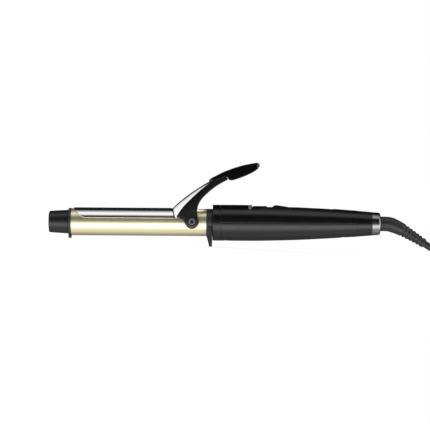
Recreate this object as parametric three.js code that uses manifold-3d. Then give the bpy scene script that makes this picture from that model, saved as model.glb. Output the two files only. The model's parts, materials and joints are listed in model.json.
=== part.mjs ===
// Curling iron with a sprung clamp, its rest stand and its mains lead.
// Millimetres. The iron is drawn about its own axis: X runs from the cool tip (-) to the lead (+),
// Z points up, and X = 0 is the front face of the stand collar. It is then set down on its two feet,
// nose low, with the lead laid out behind it on the same surface.
import * as THREE from 'three';
import { mergeVertices } from 'three/addons/utils/BufferGeometryUtils.js';
import Module from 'manifold-3d';

const wasm = await Module();
wasm.setup();

// ---- driving dimensions ----
const GAP = 0.3;              // running gap between neighbouring pieces
const BARREL_R = 12.7;        // 25.4 mm barrel
const BARREL_WALL = 1;
const BARREL_START = -126.7;
const TIP_END = -148.2;
const FLANGE_START = -129.4;
const FLANGE_R = 12.9;
const NIB_DEPTH = 15.3;       // how far the front foot reaches below the axis
const NIB_X = -128.05;
const COLLAR_LENGTH = 5.5;
const COLLAR_R = 12.95;
const FOOT_DEPTH = 22.5;      // how far the rear foot reaches below the axis
const FOOT_X = 3.8;
const FOOT_HALF_WIDTH = 14;
const HANDLE_R = 16.85;
const HANDLE_START = 13.3;
const HANDLE_END = 140.9;
const HANDLE_WALL = 2;
const PANEL_Z = 15.1;         // height of the flat control panel above the axis
const PANEL_START = 43;
const RING_START = 155.7;
const RING_END = 162.8;
const BLADE_R = 13.55;        // outside radius of the clamp blade
const BLADE_THICK = 0.55;
const BLADE_WRAP = 72;        // degrees each side of the top
const BLADE_START = -124.8;
const BLADE_END = -31.8;
const BLADE_NOSE = 10.4;      // length of the blade's rounded nose
const PIVOT_X = -13.7;
const PIVOT_Z = 0.8;
const BOSS_R = 6.7;
const CHEEK_IN = 13.1;        // inside face of the bracket's cheeks
const CHEEK_OUT = 15.4;
const BOSS_OUT = 17.3;
const CHEEK_BEND_Z = 14;      // above this height the cheeks lean in
const CHEEK_LEAN = 0.1556;
const PAD_HALF_WIDTH = 10.5;
const CORD_D = 6.5;
const BOOT_LENGTH = 54;
const BOOT_R = 6.85;
const BOOT_END_R = 4.1;
const HANK_X = 310;           // middle of the folded lead
const HANK_LOOP = 48.75;      // from the middle to the centre of each end loop
const HANK_TOP = 20;
const TIE_WIDTH = 12;
const PLUG_X = HANK_X + 20;   // where the plug's tail meets its body
const PLUG_Z = 27.4;
const ORIGIN_X = 7.47;        // the point of the axis that stands over the origin

const FLOOR_SLOPE = (NIB_DEPTH - FOOT_DEPTH) / (FOOT_X - NIB_X);
const NOSE_DOWN = Math.atan(-FLOOR_SLOPE);
const AXIS_HEIGHT = -NIB_X * Math.sin(NOSE_DOWN) + NIB_DEPTH * Math.cos(NOSE_DOWN);
const floorZ = (x) => -NIB_DEPTH + FLOOR_SLOPE * (x - NIB_X);

// ---- materials ----
const plastic = (color, roughness) => new THREE.MeshStandardMaterial({ color, roughness, metalness: 0 });
const metal = (color, roughness) => new THREE.MeshStandardMaterial({ color, roughness, metalness: 1 });
const satinBlack = plastic('#1b1b1c', 0.42);
const glossBlack = plastic('#0c0c0d', 0.15);
const heatBlack = plastic('#2a2728', 0.5);
const rubberBlack = plastic('#1c1c1d', 0.6);
const gold = metal('#cdc49b', 0.25);
const chrome = metal('#e8e8ea', 0.06);
const steel = metal('#a8a9ac', 0.3);
const aluminium = metal('#b9bcc0', 0.45);
const brass = metal('#c9a75c', 0.35);
const ceramic = plastic('#e9e4da', 0.8);
const boardGreen = plastic('#1f5a34', 0.6);
const lensGrey = plastic('#6e7072', 0.2);
const nylon = plastic('#e6e3da', 0.5);

// ---- helpers ----
const iron = new THREE.Group();
const curlingIron = new THREE.Group();
curlingIron.name = 'curling_iron';

function signedVolume(position, index) {
  const [a, b, c] = [new THREE.Vector3(), new THREE.Vector3(), new THREE.Vector3()];
  let volume = 0;
  for (let i = 0; i < index.length; i += 3) {
    a.fromBufferAttribute(position, index[i]);
    b.fromBufferAttribute(position, index[i + 1]);
    c.fromBufferAttribute(position, index[i + 2]);
    volume += a.dot(b.cross(c));
  }
  return volume;
}

// A closed geometry as a solid: vertices merged, empty triangles dropped, faces turned outwards.
function solid(geometry) {
  geometry.deleteAttribute('normal');
  geometry.deleteAttribute('uv');
  const merged = mergeVertices(geometry, 1e-4);
  const position = merged.getAttribute('position');
  const index = [];
  for (let i = 0; i < merged.index.count; i += 3) {
    const [a, b, c] = [0, 1, 2].map((k) => merged.index.getX(i + k));
    if (a !== b && b !== c && c !== a) index.push(a, b, c);
  }
  if (signedVolume(position, index) < 0) index.reverse();
  const mesh = new wasm.Mesh({
    numProp: 3,
    vertProperties: new Float32Array(position.array),
    triVerts: new Uint32Array(index),
  });
  return new wasm.Manifold(mesh);
}

function geometryOf(body) {
  const mesh = body.getMesh();
  const geometry = new THREE.BufferGeometry();
  geometry.setAttribute('position', new THREE.BufferAttribute(new Float32Array(mesh.vertProperties), 3));
  geometry.setIndex(Array.from(mesh.triVerts));
  return geometry;
}

function place(group, name, body, material) {
  const geometry = geometryOf(body);
  geometry.computeVertexNormals();
  const mesh = new THREE.Mesh(geometry, material);
  mesh.name = name;
  group.add(mesh);
}

const onIron = (name, body, material) => place(iron, name, body, material);
const onFloor = (name, body, material) => place(curlingIron, name, body, material);

const moved = (body, matrix) => solid(geometryOf(body).applyMatrix4(matrix));
const mirroredY = (body) => moved(body, new THREE.Matrix4().makeScale(1, -1, 1));

// A body of revolution about the X axis from [x, radius] points.
function turned(points, segments = 32) {
  const geometry = new THREE.LatheGeometry(points.map(([x, r]) => new THREE.Vector2(r, x)), segments);
  return solid(geometry.rotateZ(-Math.PI / 2));
}

const disc = (x0, x1, r, segments) => turned([[x0, 0], [x0, r], [x1, r], [x1, 0]], segments);
const tube = (x0, x1, r, bore, segments) =>
  turned([[x0, bore], [x0, r], [x1, r], [x1, bore], [x0, bore]], segments);

function block(x0, x1, y0, y1, z0, z1) {
  const geometry = new THREE.BoxGeometry(x1 - x0, y1 - y0, z1 - z0);
  return solid(geometry.translate((x0 + x1) / 2, (y0 + y1) / 2, (z0 + z1) / 2));
}

const outline = (points) => new THREE.Shape(points.map(([a, b]) => new THREE.Vector2(a, b)));
const spline = (points, steps) =>
  new THREE.SplineCurve(points.map(([a, b]) => new THREE.Vector2(a, b)))
    .getPoints(steps)
    .map((p) => [p.x, p.y]);

// An outline in X and Z, extruded from y0 to y1.
function fromSide(shape, y0, y1) {
  const options = { depth: y1 - y0, bevelEnabled: false, curveSegments: 4 };
  const geometry = new THREE.ExtrudeGeometry(shape, options);
  return solid(geometry.rotateX(Math.PI / 2).translate(0, y1, 0));
}

// An outline in Y and Z, extruded from x0 to x1.
function fromFront(shape, x0, x1) {
  const options = { depth: x1 - x0, bevelEnabled: false, curveSegments: 4 };
  const geometry = new THREE.ExtrudeGeometry(shape, options);
  const turn = new THREE.Matrix4().makeBasis(
    new THREE.Vector3(0, 1, 0), new THREE.Vector3(0, 0, 1), new THREE.Vector3(1, 0, 0));
  return solid(geometry.applyMatrix4(turn).translate(x0, 0, 0));
}

// An outline in X and Y, extruded from z0 to z1.
function fromAbove(shape, z0, z1) {
  const options = { depth: z1 - z0, bevelEnabled: false, curveSegments: 5 };
  const geometry = new THREE.ExtrudeGeometry(shape, options);
  return solid(geometry.translate(0, 0, z0));
}

// A pin along Y or Z.
function pinY(x, z, r, y0, y1, segments = 16) {
  const geometry = new THREE.CylinderGeometry(r, r, Math.abs(y1 - y0), segments);
  return solid(geometry.translate(x, (y0 + y1) / 2, z));
}

function pinZ(x, y, r, z0, z1, segments = 16) {
  const geometry = new THREE.CylinderGeometry(r, r, z1 - z0, segments);
  return solid(geometry.rotateX(Math.PI / 2).translate(x, y, (z0 + z1) / 2));
}

function roundedRect(x0, x1, y0, y1, r) {
  const shape = new THREE.Shape();
  shape.absarc(x1 - r, y0 + r, r, -Math.PI / 2, 0);
  shape.absarc(x1 - r, y1 - r, r, 0, Math.PI / 2);
  shape.absarc(x0 + r, y1 - r, r, Math.PI / 2, Math.PI);
  shape.absarc(x0 + r, y0 + r, r, Math.PI, 1.5 * Math.PI);
  return shape;
}

// A wire or lead of round section along points.
function wire(points, r, steps, sides = 8) {
  const curve = new THREE.CatmullRomCurve3(points.map((p) => new THREE.Vector3(...p)));
  const section = new THREE.Shape();
  section.absarc(0, 0, r, 0, 2 * Math.PI);
  const geometry = new THREE.ExtrudeGeometry(section, {
    steps,
    curveSegments: sides / 2,
    extrudePath: curve,
  });
  return solid(geometry);
}

// The triangles that close a ring of points: a fan on a convex ring, a strip on a sheet's section,
// whose second half runs back along the first.
const fanOf = (count) => Array.from({ length: count - 2 }, (_, i) => [0, i + 1, i + 2]);
const stripOf = (count) =>
  Array.from({ length: count / 2 - 1 }, (_, i) => [
    [i, i + 1, count - 1 - i],
    [i + 1, count - 2 - i, count - 1 - i],
  ]).flat();

// A closed body through a list of rings with the same number of points.
function lofted(rings, closing = fanOf) {
  const count = rings[0].length;
  const index = [];
  for (let k = 0; k + 1 < rings.length; k += 1) {
    for (let i = 0; i < count; i += 1) {
      const j = (i + 1) % count;
      const [a, b, c, d] = [k * count + i, k * count + j, (k + 1) * count + i, (k + 1) * count + j];
      index.push(a, b, c, b, d, c);
    }
  }
  const last = (rings.length - 1) * count;
  for (const [a, b, c] of closing(count)) {
    index.push(c, b, a, last + a, last + b, last + c);
  }
  const geometry = new THREE.BufferGeometry();
  geometry.setAttribute('position', new THREE.BufferAttribute(new Float32Array(rings.flat(2)), 3));
  geometry.setIndex(index);
  return solid(geometry);
}

// ---- cool tip ----
function coolTip() {
  const corner = 1;
  const endR = 10.05;
  const crown = 0.6;
  const arc = [0, 45, 90].map((deg) => {
    const t = THREE.MathUtils.degToRad(deg);
    return [TIP_END + crown + corner * (1 - Math.sin(t)), endR - corner * (1 - Math.cos(t))];
  }).reverse();
  const tipStart = FLANGE_START - GAP;
  const cap = turned([
    [TIP_END, 0],
    [TIP_END + 0.2 * crown, 5],
    ...arc,
    [-140.3, 10.54],
    [-134.7, 10.84],
    [tipStart, 11.1],
    [tipStart, 0],
  ]);
  onIron('tip_cap', cap.subtract(disc(TIP_END + 6, tipStart + 1, 1.9, 10)), satinBlack);

  const plate = disc(FLANGE_START, BARREL_START - GAP, FLANGE_R);
  const nibShape = new THREE.Shape();
  const half = (BARREL_START - GAP - FLANGE_START) / 2;
  const middle = FLANGE_START + half;
  nibShape.moveTo(middle - half, -8);
  nibShape.lineTo(middle - half, floorZ(middle) + 0.8);
  nibShape.quadraticCurveTo(middle - half, floorZ(middle - 0.5), middle - 0.5, floorZ(middle - 0.5));
  nibShape.lineTo(middle + 0.5, floorZ(middle + 0.5));
  nibShape.quadraticCurveTo(middle + half, floorZ(middle + 0.5), middle + half, floorZ(middle) + 0.8);
  nibShape.lineTo(middle + half, -8);
  const nib = fromSide(nibShape, -4, 4);
  const spigot = disc(BARREL_START - GAP - 0.1, BARREL_START + 6, BARREL_R - BARREL_WALL - GAP);
  const flange = plate.add(nib).add(spigot).subtract(disc(-140, -110, 1.9, 16));
  onIron('tip_flange', flange, heatBlack);

  const screw = disc(TIP_END + 6.3, FLANGE_START + 12, 1.5, 16);
  onIron('tip_screw', screw, steel);
}

// ---- barrel and heater ----
function barrelAndHeater() {
  const bore = BARREL_R - BARREL_WALL;
  const holes = pinY(PIVOT_X, PIVOT_Z, 2.1, -20, 20);
  onIron('barrel_tube', tube(BARREL_START, -GAP, BARREL_R, bore, 48).subtract(holes), gold);

  const [x0, x1] = [-113, -36];
  const slot = 1.6;
  const core = disc(x0, x1, bore - GAP);
  const upper = core.intersect(block(x0, x1, -20, 20, slot, 20));
  const lower = core.intersect(block(x0, x1, -20, 20, -20, -slot));
  onIron('heater_shell_upper', upper, aluminium);
  onIron('heater_shell_lower', lower, aluminium);
  onIron('ptc_heater_element', block(x0 + 4, x1 - 4, -8, 8, -slot + GAP, slot - GAP), ceramic);
  onIron('thermal_fuse', disc(-9, 3, 1.7, 12), steel);
}

// ---- stand collar, with its foot and the spigot that carries the barrel ----
function standCollar() {
  const ring = disc(0, COLLAR_LENGTH, COLLAR_R);
  const spigot = disc(-26, 0.1, BARREL_R - BARREL_WALL - GAP);
  const neck = disc(COLLAR_LENGTH - 0.1, HANDLE_START + 1.2, 11.2);
  const side = outline([
    [0, 0],
    [0.2, -12.4],
    [2.35, floorZ(2.35) + 1.5],
    [5.2, floorZ(5.2) + 1.5],
    [5.4, -16],
    [COLLAR_LENGTH, 0],
  ]);
  const front = new THREE.Shape();
  front.moveTo(-COLLAR_R + 0.3, 0);
  front.lineTo(-FOOT_HALF_WIDTH, -FOOT_DEPTH - 1);
  front.lineTo(FOOT_HALF_WIDTH, -FOOT_DEPTH - 1);
  front.lineTo(COLLAR_R - 0.3, 0);
  const foot = fromSide(side, -20, 20).intersect(fromFront(front, -1, 7));
  const wiring = disc(-30, 30, 7.6, 24);
  const threads = pinY(PIVOT_X, PIVOT_Z, 1.9, -20, 20);
  const collar = ring.add(spigot).add(neck).add(foot).subtract(wiring).subtract(threads);
  onIron('stand_collar', collar, heatBlack);

  const sole = outline([
    [2.4, floorZ(2.4) + 1.2],
    [2.45, floorZ(2.45)],
    [3.6, floorZ(3.6)],
    [3.6, floorZ(3.6) + 0.5],
    [4.0, floorZ(4.0) + 0.5],
    [4.0, floorZ(4.0)],
    [5.15, floorZ(5.15)],
    [5.2, floorZ(5.2) + 1.2],
  ]);
  const width = FOOT_HALF_WIDTH - 0.4;
  onIron('foot_sole', fromSide(sole, -width, width), rubberBlack);
}

// ---- handle ----
// Outside radius of the handle at a distance along the axis.
const HANDLE_PROFILE = [
  [HANDLE_START, HANDLE_R],
  [45, 16.8],
  [66, 16.35],
  [88, 15.55],
  [106, 14.55],
  [123, 13.5],
  [131, 12.9],
  [HANDLE_END, 12.25],
];

function handleR(x) {
  const i = HANDLE_PROFILE.findIndex(([end]) => end >= x);
  if (i < 1) return HANDLE_PROFILE.at(i).at(1);
  const [[x0, r0], [x1, r1]] = [HANDLE_PROFILE[i - 1], HANDLE_PROFILE[i]];
  return r0 + ((r1 - r0) * (x - x0)) / (x1 - x0);
}

function panelPlan(margin) {
  const shape = new THREE.Shape();
  const [x0, x1, end] = [PANEL_START - margin, 79, 120 + margin];
  const [wide, narrow] = [7.2 + margin, 3.2 + margin];
  shape.moveTo(x0, -wide);
  shape.lineTo(x1, -wide);
  shape.quadraticCurveTo(100, -narrow, end - narrow, -narrow);
  shape.absarc(end - narrow, 0, narrow, -Math.PI / 2, Math.PI / 2);
  shape.quadraticCurveTo(100, narrow, x1, wide);
  shape.lineTo(x0, wide);
  return shape;
}

const SCREW_X = [18.5, 128];
const LENS_X = [39, 41.8];
const BUTTON_X = [44.6, 56.4];
const ROCKER_X = [61.6, 76];
const ROCKER_PIVOT = [68.9, 13.5];
const CONTROL_HALF_WIDTH = 4.5;
const LENS_SWEEP = 40;           // degrees each side of the top

function handle() {
  const start = HANDLE_START + GAP / 2;
  const end = HANDLE_END - GAP / 2;
  const outside = HANDLE_PROFILE.map(([x, r]) => [THREE.MathUtils.clamp(x, start, end), r]);
  const inside = outside.map(([x, r]) => [x, r - HANDLE_WALL]).reverse();
  const shell = turned([...outside, ...inside, outside[0]]);
  const lens = tube(LENS_X[0] - GAP, LENS_X[1] + GAP, 30, HANDLE_R - 1.5 - GAP, 40)
    .intersect(wedge(LENS_SWEEP + 1));
  const pocket = fromAbove(panelPlan(GAP), PANEL_Z - 4, 30);
  let upper = shell.intersect(block(0, 200, -30, 30, GAP / 2, 30)).subtract(lens).subtract(pocket);
  let lower = shell.intersect(block(0, 200, -30, 30, -30, -GAP / 2));
  for (const x of SCREW_X) {
    const bottom = -handleR(x);
    upper = upper.add(pinZ(x, 0, 3, bottom + 4, handleR(x) - 1)).subtract(pinZ(x, 0, 1.4, bottom + 2, 2));
    lower = lower.add(pinZ(x, 0, 4, bottom + 1, bottom + 3.6)).subtract(pinZ(x, 0, 1.4, -30, 0));
    lower = lower.subtract(pinZ(x, 0, 2.9, -30, bottom + 2));
  }
  onIron('handle_upper_shell', upper, satinBlack);
  onIron('handle_lower_shell', lower, satinBlack);
  SCREW_X.forEach((x, i) => {
    const bottom = -handleR(x);
    const head = pinZ(x, 0, 2.5, bottom + 0.4, bottom + 1.7);
    const screw = head.add(pinZ(x, 0, 1.1, bottom + 1.6, bottom + 13));
    onIron(`handle_screw_${['front', 'rear'][i]}`, screw, steel);
  });

  const corner = [0, 45, 90].map((deg) => {
    const t = THREE.MathUtils.degToRad(deg);
    return [COLLAR_LENGTH + GAP + 1.3 * (1 - Math.sin(t)), HANDLE_R - 1.3 * (1 - Math.cos(t))];
  }).reverse();
  const ringEnd = HANDLE_START - GAP / 2;
  const bore = 11.5;
  const frontRing = turned([
    [COLLAR_LENGTH + GAP, bore],
    ...corner,
    [ringEnd, HANDLE_R],
    [ringEnd, bore],
    [COLLAR_LENGTH + GAP, bore],
  ]);
  onIron('front_ring', frontRing, satinBlack);
  const lensBody = tube(LENS_X[0], LENS_X[1], 16.82, HANDLE_R - 1.5, 40).intersect(wedge(LENS_SWEEP));
  onIron('indicator_lens', lensBody, lensGrey);
}

// A wedge of space above the axis, reaching the given angle each side of the top.
function wedge(degrees) {
  const reach = 40;
  const t = THREE.MathUtils.degToRad(degrees);
  const shape = outline([[0, 0], [reach * Math.sin(t), reach * Math.cos(t)], [0, 60],
    [-reach * Math.sin(t), reach * Math.cos(t)]]);
  return fromFront(shape, -200, 200);
}

function controls() {
  const top = [[PANEL_START, PANEL_Z], [77, PANEL_Z], [88, 15.12], [106, 14.12], [120, 13.25]];
  const under = top.map(([x, z]) => [x, z - 1.8]).reverse();
  const side = CONTROL_HALF_WIDTH + 0.4;
  const window = (from, to) => block(from, to, -side, side, 0, 30);
  const panel = fromSide(outline([...top, ...under]), -10, 10)
    .intersect(fromAbove(panelPlan(0), 0, 30))
    .subtract(window(BUTTON_X[0] - 0.4, BUTTON_X[1] + 0.4))
    .subtract(window(ROCKER_X[0] - 0.6, ROCKER_X[1] + 0.6));
  onIron('control_panel', panel, satinBlack);

  const buttonPlan = roundedRect(...BUTTON_X, -CONTROL_HALF_WIDTH, CONTROL_HALF_WIDTH, 1.2);
  const cap = fromAbove(buttonPlan, 13.4, 15.95);
  const button = cap.add(pinZ(50.5, 0, 1.6, 12.2, 13.5));
  onIron('mode_button', button, glossBlack);

  const rockerSide = outline([
    [ROCKER_X[0], 12.6],
    [ROCKER_X[0], 15.3],
    [64.3, 17],
    [ROCKER_X[1], 15.3],
    [ROCKER_X[1], 12.6],
    [71, 12],
    [66.8, 12],
  ]);
  onIron('power_rocker', fromSide(rockerSide, -CONTROL_HALF_WIDTH, CONTROL_HALF_WIDTH), glossBlack);

  onIron('circuit_board', block(30, 112, -8.5, 8.5, 4.4, 6), boardGreen);
  onIron('tact_switch', block(47.5, 53.5, -3, 3, 6.3, 11), heatBlack);
  onIron('rocker_switch_housing', block(62.4, 75.4, -4.5, 4.5, 6.3, 10.8), heatBlack);
  onIron('indicator_led', pinZ(40.4, 0, 1.5, 6.3, 11), lensGrey);
  onIron('dropper_capacitor', block(86, 99, -5, 5, 6.3, 11.4), brass);
}

// ---- rear of the handle ----
function rearEnd() {
  const start = HANDLE_END + GAP / 2;
  const end = RING_START - GAP / 2;
  const cap = turned([
    [start - 6, 8.6],
    [start - 6, 9.9],
    [start, 9.9],
    [start, 12.2],
    [147.6, 11.65],
    [end, 11.05],
    [end, 8.6],
    [start - 6, 8.6],
  ]);
  onIron('rear_cap', cap, satinBlack);
  const ring = turned([
    [RING_START + GAP / 2, 7.3],
    [RING_START + GAP / 2, 10.95],
    [RING_END - 1, 10.45],
    [RING_END - 0.3, 10.15],
    [RING_END, 9.4],
    [RING_END, 7.3],
    [RING_START + GAP / 2, 7.3],
  ]);
  onIron('end_ring', ring, chrome);
  onIron('swivel_socket', tube(139, 155.2, 8.3, 6.2, 24), nylon);
  const stub = disc(138.6, 155.2, 5.9, 24).add(disc(137.5, 138.7, 8, 24));
  onIron('swivel_drum', stub.subtract(disc(120, 160, 3.4, 16)), nylon);
}

function innerWires() {
  [['live', 1], ['neutral', -1]].forEach(([name, side]) => {
    const lead = [[149, 1.3 * side, 0], [139, 1.3 * side, 0], [128, 5.5 * side, 1], [116, 5 * side, 2.6],
      [108, 4 * side, 3]];
    onIron(`supply_wire_${name}`, wire(lead, 0.9, 10, 6), rubberBlack);
    const feed = [[36, 4 * side, 3], [24, 5 * side, 1], [8, 5.2 * side, 0], [-12, 5 * side, 0],
      [-35.5, 4 * side, 0]];
    onIron(`heater_wire_${name}`, wire(feed, 0.9, 11, 6), rubberBlack);
  });
}

// ---- clamp: blade and lever in one sheet ----
// Stations of the lever: x and height of the crown, half width, depth of the section, lean of its edge,
// and how boxy the section is (0 is round, 1 has a flat crown between steep flanks).
const LEVER = [
  [BLADE_END, BLADE_R, 12.89, 9.36, 2.3, 0],
  [-27.4, 18.75, 12.6, 12.2, 4, 1],
  [-21.7, 23.4, 12, 10.6, 5.5, 1],
  [-13.3, 29.65, 11.2, 8.1, 5, 1],
  [-4.8, 35, 10, 6, 4, 1],
  [2, 38.7, 9, 3.5, 2.5, 0.5],
  [8, 41.7, 8, 2.4, 1.4, 0],
  [15, 45, 7.5, 1.4, 0.8, 0],
];

// One closed section of the sheet: over the outside and back along the inside.
function sheetRing({ x, z, half, depth, lean, boxy, wrap, thick, grow = 0 }) {
  const steps = 8;
  const crown = 1 - depth / (1.7 * half);
  const angles = Array.from({ length: steps + 1 }, (_, i) => (2 * i / steps - 1) * wrap);
  const point = (t, w, top, deep) => {
    const aside = Math.sin(t) / Math.sin(wrap);
    const round = (1 - Math.cos(t)) / (1 - Math.cos(wrap));
    const flank = Math.max(0, (Math.abs(aside) - crown) / (1 - crown));
    const drop = round + (flank - round) * boxy;
    return [x + lean * drop, w * aside, top - deep * drop];
  };
  const outer = angles.map((t) => point(t, half + grow, z + grow, depth + 2 * grow));
  const inner = angles.map((t) => point(t, half - thick - grow, z - thick - grow, depth - thick));
  return [...outer, ...inner.reverse()];
}

function bladeRings() {
  const wrap = THREE.MathUtils.degToRad(BLADE_WRAP);
  const power = 1.8;
  const nose = [0.004, 0.03, 0.09, 0.2, 0.36, 0.56, 0.78, 1].map((share) => {
    const reach = wrap * (1 - (1 - share) ** power) ** (1 / power);
    return [BLADE_START + BLADE_NOSE * share, reach];
  });
  const straight = [-90, -60, BLADE_END - 6].map((x) => [x, wrap]);
  return [...nose, ...straight].map(([x, t]) => {
    const deep = BLADE_R * (1 - Math.cos(t));
    const lean = x === BLADE_END - 6 ? 1 : 0;
    const half = BLADE_R * Math.sin(t);
    const ring = sheetRing({ x, z: BLADE_R, half, depth: deep, lean, boxy: 0, wrap: t, thick: 0 });
    const count = ring.length / 2;
    const inner = ring.slice(count).map(([px, py, pz]) => {
      const scale = (BLADE_R - BLADE_THICK) / BLADE_R;
      return [px, py * scale, pz * scale];
    });
    return [...ring.slice(0, count), ...inner];
  });
}

const leverRings = (stations, grow) => {
  const wrap = THREE.MathUtils.degToRad(BLADE_WRAP);
  return stations.map(([x, z, half, depth, lean, boxy]) =>
    sheetRing({ x, z, half, depth, lean, boxy, wrap, thick: BLADE_THICK, grow }));
};

const RIVET_X = 9.5;
const RIVET_Y = 3.4;
const RIVET_HEAD_Z = 37.2;       // where the rivets' heads bear on the bracket's web
const PAD_SLOT = 0.6;            // room round the lever's tongue inside the thumb pad

function clamp() {
  const rivetHoles = [-1, 1].map((side) => pinZ(RIVET_X, side * RIVET_Y, 1.45, 30, 60));
  let sheet = lofted([...bladeRings(), ...leverRings(LEVER, 0)], stripOf);
  for (const hole of rivetHoles) sheet = sheet.subtract(hole);
  onIron('clamp_blade', sheet, chrome);

  const leftEdge = [[-28.3, 5.4], [-21.6, 15], [-13.3, 23.5], [-4.9, 31.2], [3.6, 37.6], [6.8, 38.6]];
  const left = spline(leftEdge, 12);
  const seam = [[12, 40.4], [18, 42.4], [19.5, 41.6], [19.7, 40.8]];
  const right = spline([[19.7, 40.8], [13.1, 37.1], [7, 33.15], [0.3, 27.45], [-5.1, 21.8],
    [-8.1, 16.2], [-8.8, 12], [-8.4, 7], [-7.2, 2.5]], 15).slice(1);
  const fillet = spline([[-18.7, -3.6], [-20.6, -0.4], [-23.2, 2.6], [-28.3, 5.4]], 5).slice(0, -1);
  const cheekShape = outline([...left, ...seam, ...right, [PIVOT_X, PIVOT_Z], ...fillet]);
  const webShape = outline([[5, 31.6], [12, 36.6], [19.5, 40.8], [18, 42.3], [12, 40.3], [5, 34.7]]);
  const whole = fromSide(cheekShape, CHEEK_IN, CHEEK_OUT).add(fromSide(webShape, 0, CHEEK_IN + 0.5));
  const low = whole.intersect(block(-60, 60, -30, 30, -30, CHEEK_BEND_Z + 0.01));
  const high = whole.intersect(block(-60, 60, -30, 30, CHEEK_BEND_Z, 80));
  const shear = new THREE.Matrix4().set(
    1, 0, 0, 0,
    0, 1, -CHEEK_LEAN, CHEEK_LEAN * CHEEK_BEND_Z,
    0, 0, 1, 0,
    0, 0, 0, 1,
  );
  const pivotBoss = pinY(PIVOT_X, PIVOT_Z, BOSS_R, CHEEK_IN, BOSS_OUT, 24);
  const springRoom = pinY(PIVOT_X, PIVOT_Z, 5.1, 0, 15.4, 20)
    .subtract(pinY(PIVOT_X, PIVOT_Z, 3.35, 0, 16));
  const bearing = pinY(PIVOT_X, PIVOT_Z, 2.65, 0, 30);
  const headRoom = pinY(PIVOT_X, PIVOT_Z, 3.3, 15.9, 30, 20);
  const half = low.add(moved(high, shear)).add(pivotBoss)
    .subtract(springRoom).subtract(bearing).subtract(headRoom);
  let bracket = half.add(mirroredY(half));
  const aboveWeb = fromSide(outline([[5, 31.6], [12, 36.6], [19.5, 40.8], [19.5, 60], [5, 60]]), -9, 9);
  [-1, 1].forEach((side, i) => {
    const boss = pinZ(RIVET_X, side * RIVET_Y, 2.6, 30, RIVET_HEAD_Z + 0.8, 20).intersect(aboveWeb);
    const headRecess = pinZ(RIVET_X, side * RIVET_Y, 2.15, 30, RIVET_HEAD_Z, 20);
    bracket = bracket.add(boss).subtract(headRecess).subtract(rivetHoles[i]);
  });
  onIron('clamp_bracket', bracket, satinBlack);

  const crown = [[2.6, 39.6], [3.7, 41.2], [15, 47.35], [26.3, 51.7], [37.5, 54.8], [46, 56.4]];
  const padTop = spline(crown, 12);
  const padEnd = spline([[46, 56.4], [48.6, 55.9], [49.5, 53.6], [47.5, 50.6]], 6).slice(1);
  const underside = [[47.5, 50.6], [44.1, 48.2], [38.5, 45.3], [32.8, 42.9], [27.2, 40.9]];
  const padUnder = spline(underside, 6).slice(1);
  const padShape = outline([...padTop, ...padEnd, ...padUnder, [23.6, 40], [21.5, 40.2], [20.4, 41.6],
    [18.2, 43], [12, 41], [6.8, 39.2], [3.4, 39.1]]);
  const padPlan = roundedRect(0, 51, -PAD_HALF_WIDTH, PAD_HALF_WIDTH, 5);
  let pad = fromSide(padShape, -20, 20).intersect(fromAbove(padPlan, 30, 70));
  const slot = [...LEVER.slice(4, -1), [16.2, 45.57, 7.6, 1.4, 0.8, 0]];
  pad = pad.subtract(lofted(leverRings(slot, PAD_SLOT), stripOf));
  for (const side of [-1, 1]) {
    pad = pad.subtract(pinZ(RIVET_X, side * RIVET_Y, 1.45, 36, 42.6));
  }
  onIron('thumb_pad', pad, glossBlack);

  [['left', -1], ['right', 1]].forEach(([name, side]) => {
    const shank = pinZ(RIVET_X, side * RIVET_Y, 1.15, RIVET_HEAD_Z - 0.2, 42.2);
    const head = pinZ(RIVET_X, side * RIVET_Y, 1.85, RIVET_HEAD_Z - 0.7, RIVET_HEAD_Z - 0.1);
    const rivet = shank.add(head);
    onIron(`lever_rivet_${name}`, rivet, steel);
  });
}

// ---- pivot: screw, bush and torsion spring on each side ----
function pivots() {
  [['left', -1], ['right', 1]].forEach(([name, side]) => {
    const set = (body) => (side < 0 ? mirroredY(body) : body);
    const socket = pinY(PIVOT_X, PIVOT_Z, 1.7, 16.2, 30, 6);
    const screw = pinY(PIVOT_X, PIVOT_Z, 1.55, 8.2, 16.3)
      .add(pinY(PIVOT_X, PIVOT_Z, 3, 16.2, 17.1, 24)).subtract(socket);
    onIron(`pivot_screw_${name}`, set(screw), steel);
    const bush = pinY(PIVOT_X, PIVOT_Z, 2.35, 12.95, 15.9).subtract(pinY(PIVOT_X, PIVOT_Z, 1.85, 0, 30));
    onIron(`pivot_bush_${name}`, set(bush), nylon);
    const turns = 1.6;
    const steps = 12;
    const coil = Array.from({ length: steps + 1 }, (_, i) => {
      const t = (i / steps) * turns * 2 * Math.PI;
      return [PIVOT_X + 4.2 * Math.cos(t), 13.7 + (i / steps) * 1.2, PIVOT_Z + 4.2 * Math.sin(t)];
    });
    onIron(`torsion_spring_${name}`, set(wire(coil, 0.38, 22, 6)), steel);
  });
}

// ---- lead, from the rear of the iron to the folded hank ----
// Route of the lead's centreline on the surface, from the end ring to the rear end of the hank.
const ROUTE = [
  [148, 0, 30.75],
  [152.5, 0, 31],
  [156, 0, 31.2],
  [160, 0, 31.4],
  [163, 0, 31.35],
  [166, 0, 30.85],
  [169, 0, 29.85],
  [174, 0, 27.9],
  [181, 0, 24.4],
  [189, 0, 20.1],
  [197, 0, 15.6],
  [204, 0, 11.8],
  [212, 0, 8.0],
  [220, 0, 5.1],
  [228, 0, 3.55],
  [231.4, 0, 3.3],
];

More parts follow.
